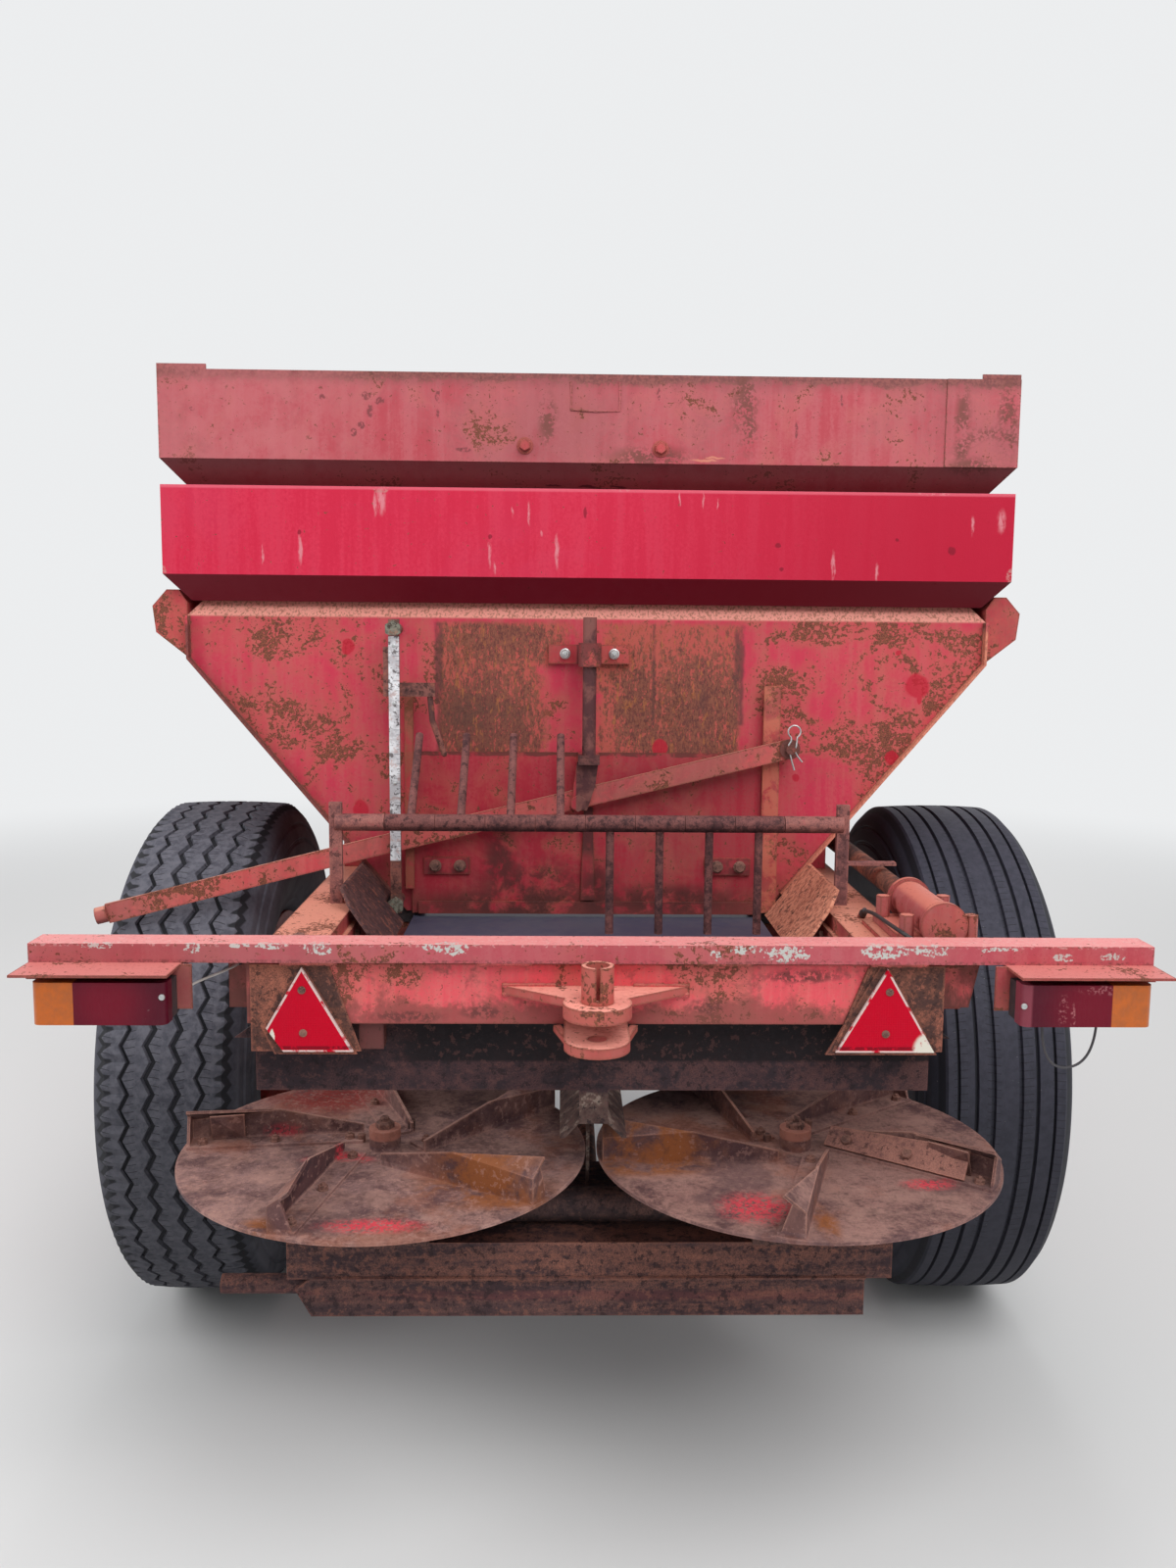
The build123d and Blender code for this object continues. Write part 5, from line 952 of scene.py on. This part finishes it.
# ---------------------------------------------------------------- tyres
def arc_through(a, b, c, count):
    """Points on the arc from a over b to c."""
    (ax, ay), (bx, by), (cx, cy) = a, b, c
    d = 2 * (ax * (by - cy) + bx * (cy - ay) + cx * (ay - by))
    aa, bb, cc = ax**2 + ay**2, bx**2 + by**2, cx**2 + cy**2
    ux = (aa * (by - cy) + bb * (cy - ay) + cc * (ay - by)) / d
    uy = (aa * (cx - bx) + bb * (ax - cx) + cc * (bx - ax)) / d
    radius = math.hypot(ax - ux, ay - uy)
    low, high = (math.atan2(p[1] - uy, p[0] - ux) for p in (a, c))
    steps = (low + (high - low) * i / count for i in range(count + 1))
    return [(ux + radius * math.cos(t), uy + radius * math.sin(t)) for t in steps]


# offsets of the side wall at some radii: rim guard, two fine rings and a step below the shoulder
WALL_RINGS = (
    (318, 2.2), (334, 2.6), (346, 0.0), (470, 0.0), (474, -1.4), (479, -1.4), (483, 0.0), (508, 0.0),
    (511, -1.8), (517, -1.8), (520, 0.0), (534, 0.8))


def wall():
    """Side wall from the bead to the shoulder: distance from the tyre's middle, and radius."""
    smooth = arc_through((115.2, 307), (160, 428), (137, 548), 24)
    points = [(115.2, 286.0), (115.2, 307.0)]
    radii = sorted({round(r) for _, r in smooth[1:-1]} | {r for r, _ in WALL_RINGS})
    rings = ((307, 0.0),) + WALL_RINGS + ((548, 0.0),)
    for r in radii:
        for (xa, ra), (xb, rb) in zip(smooth, smooth[1:]):
            if ra <= r <= rb:
                x = xa + (xb - xa) * (r - ra) / (rb - ra)
        for (ra, da), (rb, db) in zip(rings, rings[1:]):
            if ra <= r <= rb:
                x += da + (db - da) * (r - ra) / (rb - ra)
        points.append((min(x, 159.9), r))
    return points


def tyre(name, side, look, stations, grooves, depth, sway, period, notch):
    """Tyre in columns that follow the grooves. A groove is its middle and half its width."""
    half = wall()
    data = bpy.data.meshes.new(name)
    verts, faces = [], []
    for k in range(stations):
        phase = (k % period) / period
        zig = sway * (4 * abs(phase - 0.5) - 1) if sway else 0.0
        cut = notch if notch and k % (period // 2) == 0 else 0.0
        ring = [(-x, r) for x, r in half]
        ring += [(-137 + cut * 0.6, 548 - cut * 0.5), (-119 + cut * 0.5, 566 - cut)]
        for middle, wide in grooves:
            for share, deep in ((-1, 0), (-0.6, depth), (0.6, depth), (1, 0)):
                x = middle + wide * share
                ring.append((x + zig, TYRE_R - 4 * (x / 119) ** 2 - deep))
        ring += [(119 - cut * 0.5, 566 - cut), (137 - cut * 0.6, 548 - cut * 0.5)]
        ring += [(x, r) for x, r in half[::-1]]
        angle = 2 * math.pi * k / stations
        for x, r in ring:
            verts.append(at(side * WHEEL_X + x, r * math.sin(angle), TYRE_R + r * math.cos(angle)))
        count = len(ring)
        start, after = k * count, (k + 1) % stations * count
        for i in range(count):
            j = (i + 1) % count
            faces.append((start + i, after + i, after + j, start + j))
    data.from_pydata(verts, [], faces)
    tidy = bmesh.new()
    tidy.from_mesh(data)
    bmesh.ops.recalc_face_normals(tidy, faces=tidy.faces)
    tidy.to_mesh(data)
    tidy.free()
    data.polygons.foreach_set("use_smooth", [True] * len(data.polygons))
    data.set_sharp_from_angle(angle=math.radians(28))
    word = "left" if side < 0 else "right"
    piece = link(name, data, look, word + "_wheel")
    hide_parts(word + "_tyre")


tyre("left_tread", -1, "left_tyre_rubber", 224, [(-75, 5.0), (-26, 7.0), (26, 7.0), (75, 5.0)], 9, 8, 4, 8)
tyre(
    "right_tread", 1, "right_tyre_rubber", 192, [(-98, 3.2), (-62, 4.2), (-28, 5.0), (28, 5.0), (62, 4.2),
    (98, 3.2)], 8, 0, 4, 0)


# ---------------------------------------------------------------- bolts, welds and trim
BACK, DOWN, UP = (0, -1, 0), (0, 0, -1), (0, 0, 1)


def fixings():
    red = Batch("board_bolts", "bolt_paint")
    for x, z in ((-134, 1924), (140, 1921)):
        red.bolt((x, BOARDS, z), BACK, 22, 11, 17)
    red.done()

    zinc = Batch("zinc_nuts", "zinc")
    for x, z in ((-50, 1507), (52, 1507)):
        zinc.bolt((x, -348, z), BACK, 16, 8, 11)
        zinc.stud((x, -348, z), BACK, 4.5, 15)
    for x, z in ((658, 986), (-661, 997)):
        zinc.turned((x, -1116.5, z), BACK, [(5.0, 0), (4.6, 1.8), (2.6, 2.6)], 16)
    for z in (1521, 1404, 1240):
        zinc.turned((-398, -411, z), BACK, [(4.0, 0), (3.6, 1.2), (2.0, 1.8)], 14)
    zinc.done()

    pin = Batch("hairpin", "zinc", smooth=60)
    turns = (math.radians(t) for t in range(-150, 151, 20))
    ring = [(425 + 13 * math.sin(a), -397, 1351 + 13 * math.cos(a)) for a in turns]
    leg = [(427, -397, 1271), (421, -397, 1290), (416, -397, 1309), (414, -397, 1324), (419, -397, 1332)]
    other = [(431, -397, 1334), (430, -397, 1322), (426, -397, 1312), (433, -397, 1300), (443, -397, 1288)]
    pin.wire(leg + ring + other, 1.8)
    pin.done()

    gate = Batch("gate_bolts", "bolt_rust", "gate")
    for x in (-322, -270, 276, 324):
        gate.bolt((x, -352, 1058), BACK, 19, 9, 13)
    gate.done()

    rusty = Batch("rusty_bolts", "bolt_rust")
    for x, z in ((-466, 986), (-465, 916), (470, 985), (466, 916)):
        rusty.turned((x, -1039, z), BACK, [(6.4, 0), (6.4, 1.2), (5.6, 1.6)], 20)
        rusty.turned((x, -1040.4, z), BACK, [(3.8, 0), (3.4, 1.6), (1.8, 2.2)], 16)
    for side in (-1, 1):
        for y in (-930, -860) if side < 0 else ():
            rusty.bolt((-505, y, 1027), UP, 17, 7)
        for y in (-180, 440, 1060, 1620):
            for x in (478, 520):
                rusty.bolt((side * x, y + 24, 1027), UP, 17, 8, 12)
        for y in (-760, -640, 1580, 1700):
            rusty.bolt((side * 445, y, 980), (-side, 0, 0), 17, 8)
        for z in (860, 770):
            rusty.bolt((side * 474, -390, z), (side, 0, 0), 19, 9, 13)
    for x in (-440, -300, 300, 440):
        rusty.bolt((x, -640, 494), UP, 19, 9, 13)
    for x in (-35, 35):
        for z in (565, 635):
            rusty.bolt((x, 2776, z), (0, 1, 0), 17, 8)
    for cx in (-DISC_X, DISC_X):
        for x in (-65, 65):
            for y in (-891, -761):
                rusty.bolt((cx + x, y, 566), UP, 15, 6)
    rusty.done()


def vane_bolts():
    for word, cx, first, hand in (("left", -DISC_X, 186, 1), ("right", DISC_X, 179.7, -1)):
        batch = Batch(word + "_vane_bolts", "bolt_rust", word + "_spinner")
        patches = Batch(word + "_vane_patch", word + "_disc_rust", word + "_spinner")
        for i in range(5):
            turn = math.radians(first + 72 * i)

            def spot(along, across, z):
                across = hand * across
                x = cx + along * math.cos(turn) - across * math.sin(turn)
                return (x, DISC_Y + along * math.sin(turn) + across * math.cos(turn), z)

            for along in (64, 196, 322):
                batch.bolt(spot(along, -36, DISC_TOP + 5), UP, 15, 6, 9)
                batch.stud(spot(along, -36, DISC_TOP + 5), UP, 4, 12)
                batch.bolt(spot(along, -36, 631), DOWN, 15, 7)
            if (word, i) == ("left", 0):
                low, high = (250, 308), (690, 693)
            elif (word, i) == ("right", 2):
                low, high = (228, 302), (689, 692)
            else:
                continue
            corners = [
                spot(low[0], -57, 643), spot(low[1], -57, 643), spot(low[1], -34, high[1]),
                spot(low[0], -46, high[0])]
            patches.plate(corners, Vector(spot(0, 4, 0)) - Vector(spot(0, 0, 0)))
        if word == "right":
            # plate that leans from the foot of one vane against its web
            leaning = Batch("right_vane_stay", "stay_rust", "right_spinner")
            turn = math.radians(first + 72 * 2)
            edge = [spot(46, -24, 643), spot(300, -24, 643), spot(300, -55, 688), spot(46, -55, 668)]
            out = (Vector(edge[1]) - Vector(edge[0])).cross(Vector(edge[3]) - Vector(edge[0])).normalized()
            if out.z < 0:
                out = -out
            leaning.plate(edge, out * 4)
            leaning.done()
            for along, across, z in ((84, -38, 652), (196, -38, 654)):
                batch.bolt(Vector(spot(along, across, z)) + out * 4, out, 17, 8, 10)
        batch.turned((cx, DISC_Y, 674), UP, [(17, 0), (17, 9), (13, 12)], 6, 0.3)
        batch.turned((cx, DISC_Y, 680), UP, [(8, 0), (8, 12), (6, 14)], 16)
        batch.stud((cx + 38, -752, DISC_TOP), UP, 7, 22)
        batch.stud((cx - 46, -800, DISC_TOP), UP, 7, 14)
        batch.done()
        patches.done()


def wheel_nuts():
    for side, word in ((-1, "left"), (1, "right")):
        batch = Batch(word + "_wheel_nuts", "bolt_rust", word + "_wheel")
        for i in range(10):
            angle = 2 * math.pi * i / 10
            spot = (side * 870, 122 * math.sin(angle), TYRE_R + 122 * math.cos(angle))
            batch.bolt(spot, (side, 0, 0), 27, 16, 18)
            batch.stud(spot, (side, 0, 0), 8, 24)
        for i in range(6):
            angle = 2 * math.pi * (i + 0.5) / 6
            batch.bolt(
                (side * 915.5, 70 * math.sin(angle), TYRE_R + 70 * math.cos(angle)), (side, 0, 0), 13, 5)
        valve = (side * 890, 0, TYRE_R + 252)
        batch.wire([valve, (side * 905, 0, TYRE_R + 248), (side * 930, 0, TYRE_R + 243)], 5, 10)
        batch.done()


def welds():
    red = Batch("red_welds", "beam_paint")
    for x in (-500, -190, 160, 440):
        red.bead((x, -1031, 1028), (x + 90, -1031, 1028), 4.5)
        red.bead((x + 2, -1046, 1032), (x + 88, -1046, 1032), 3)
    for z, x in ((978, 58), (993, 60)):
        red.bead((-150, -1032, z), (-x, -1032, z), 4)
        red.bead((x, -1032, z), (150, -1032, z), 4)
    for side in (-1, 1):
        red.bead((side * 555, -970, 932), (side * 555, -970, 1024), 4)
        red.bead((side * 492, -572, 1030), (side * 502, -572, 1030), 4)
    red.done()

    # raised weld lines of a patch on the upper board
    patch = Batch("board_patch", "upper_paint")
    patch.wire([(-42, BOARDS, 2050), (-41, BOARDS, 2020), (-42, BOARDS, 1996)], 2.6, 6, 0.2)
    patch.wire([(56, BOARDS, 2052), (57, BOARDS, 2020), (56, BOARDS, 1994)], 2.6, 6, 0.2)
    patch.wire([(-42, BOARDS, 1996), (8, BOARDS, 1993), (56, BOARDS, 1994)], 2.2, 6, 0.3)
    patch.done()

    # flat plates over the ends of the rear beam, behind the reflectors
    ends = Batch("beam_end_plates", "plate_rust")
    ends.plate([(-549, BEAM, 1026), (-424, BEAM, 1026), (-374, BEAM, 884), (-549, BEAM, 884)], (0, -2.5, 0))
    ends.plate([(440, BEAM, 1026), (560, BEAM, 1026), (560, BEAM, 884), (386, BEAM, 884)], (0, -2.5, 0))
    ends.wire([(438, -1033, 1022), (384, -1033, 886)], 3, 6, 0.1)
    ends.done()

    rust = Batch("rust_welds", "carrier_rust")
    rust.bead((-484, -900, 428), (484, -900, 428), 4)
    rust.bead((-530, -897, 494), (-452, -897, 494), 3)
    rust.done()


def glands():
    """Tapered sleeves where the cords leave what holds them."""
    batch = Batch("cord_glands", "lamp_black")
    taper = [(1.0, 0), (1.0, 0.25), (0.72, 0.6), (0.6, 1.0)]
    for spot, way, radius, length in (
        ((791, -1074, 957), DOWN, 4.6, 16),
        ((704, -1074, 957), DOWN, 4.6, 16),
        ((-642, -1058, 993), (0, 1, 0), 4.6, 14),
        ((-575, -983, 1017), BACK, 4.6, 12),
        ((506.4, -696.4, 1035.4), (-0.9, -24.6, 17.1), 7.4, 20),
        ((530, -990, 1050), (0, 1, 0), 7.4, 14),
    ):
        batch.turned(spot, way, [(radius * r, length * h) for r, h in taper], 16)
    batch.done()


def jack_trim():
    grip = Batch("crank_grip", "grip_rubber")
    grip.turned(
        (-265, 2700, 1030), UP, [(9, 0), (14, 3), (14, 30), (13, 44), (14, 58), (14, 76), (10, 80)], 20)
    grip.done()


def seals():
    """Rubber flaps that close the hopper's rear corners, and strips over the belt's edges."""
    batch = Batch("belt_seals", "lamp_black")
    for side in (-1, 1):
        inner, outer, edge = side * 346, side * 445, side * 386
        batch.plate(
            [(inner, -325, 930), (outer, -325, 930), (outer, -325, 1030), (inner, -325, 1030)], (0, 5, 0))
        batch.plate(
            [(edge, -319, 958), (inner, -319, 950.5), (inner, 1712, 950.5), (edge, 1712, 958)], (0, 0, 3))
    batch.plate([(-384, 1713, 958), (384, 1713, 958), (384, 1678, 940), (-384, 1678, 940)], (0, 0, 3))
    batch.done()


seals()
fixings()
vane_bolts()
wheel_nuts()
welds()
glands()
jack_trim()


# ---------------------------------------------------------------- floor and light
def faded_floor():
    """Plain pale floor that runs into the background far from the object."""
    look = Look("floor")
    look.set(Base_Color=(0.74, 0.74, 0.735), Roughness=0.9)
    far = look.vector("LENGTH", look.place).step(3.4, 8.5) * look.node("LightPath").outputs["Is Camera Ray"]
    glow = look.node("Emission", BACKGROUND)
    choice = look.node("MixShader", far, look.shader.outputs[0], glow.outputs[0])
    look.put(choice.outputs[0], look.out.inputs[0])
    return look.material


def studio():
    half = 30
    mesh = bpy.data.meshes.new("floor")
    mesh.from_pydata(
        [(-half, -half, 0), (half, -half, 0), (half, half, 0), (-half, half, 0)], [], [(0, 1, 2, 3)])
    mesh.materials.append(faded_floor())
    floor = bpy.data.objects.new("floor", mesh)
    bpy.context.scene.collection.objects.link(floor)

    world = bpy.data.worlds.new("studio")
    bpy.context.scene.world = world
    nodes = Nodes(world)
    path = nodes.node("LightPath").outputs
    seen = path["Is Camera Ray"]
    for kind in ("Is Glossy Ray", "Is Transmission Ray"):
        seen = nodes.math("MAXIMUM", seen, path[kind])
    sky = nodes.node("Background", (0.97, 0.98, 1.0), 0.52).outputs[0]
    backdrop = nodes.node("Background", BACKGROUND, 1.0).outputs[0]
    nodes.node("OutputWorld", nodes.node("MixShader", seen, sky, backdrop).outputs[0])

    # name, place, size and power; each is aimed at the middle of the machine
    lamps = (
        ("key", (1.8, -4.6, 5.2), 4.0, 205),
        ("fill", (-4.2, -2.2, 3.6), 3.5, 100),
        ("back", (0.5, 5.0, 5.0), 4.0, 150),
    )
    for name, place, size, power in lamps:
        data = bpy.data.lights.new(name, "AREA")
        data.size = size
        data.energy = power
        lamp = bpy.data.objects.new(name, data)
        lamp.location = place
        lamp.rotation_mode = "QUATERNION"
        lamp.rotation_quaternion = (Vector((0, -0.4, 0.9)) - Vector(place)).to_track_quat("-Z", "Y")
        bpy.context.scene.collection.objects.link(lamp)


studio()
bpy.context.scene.view_settings.view_transform = "Standard"
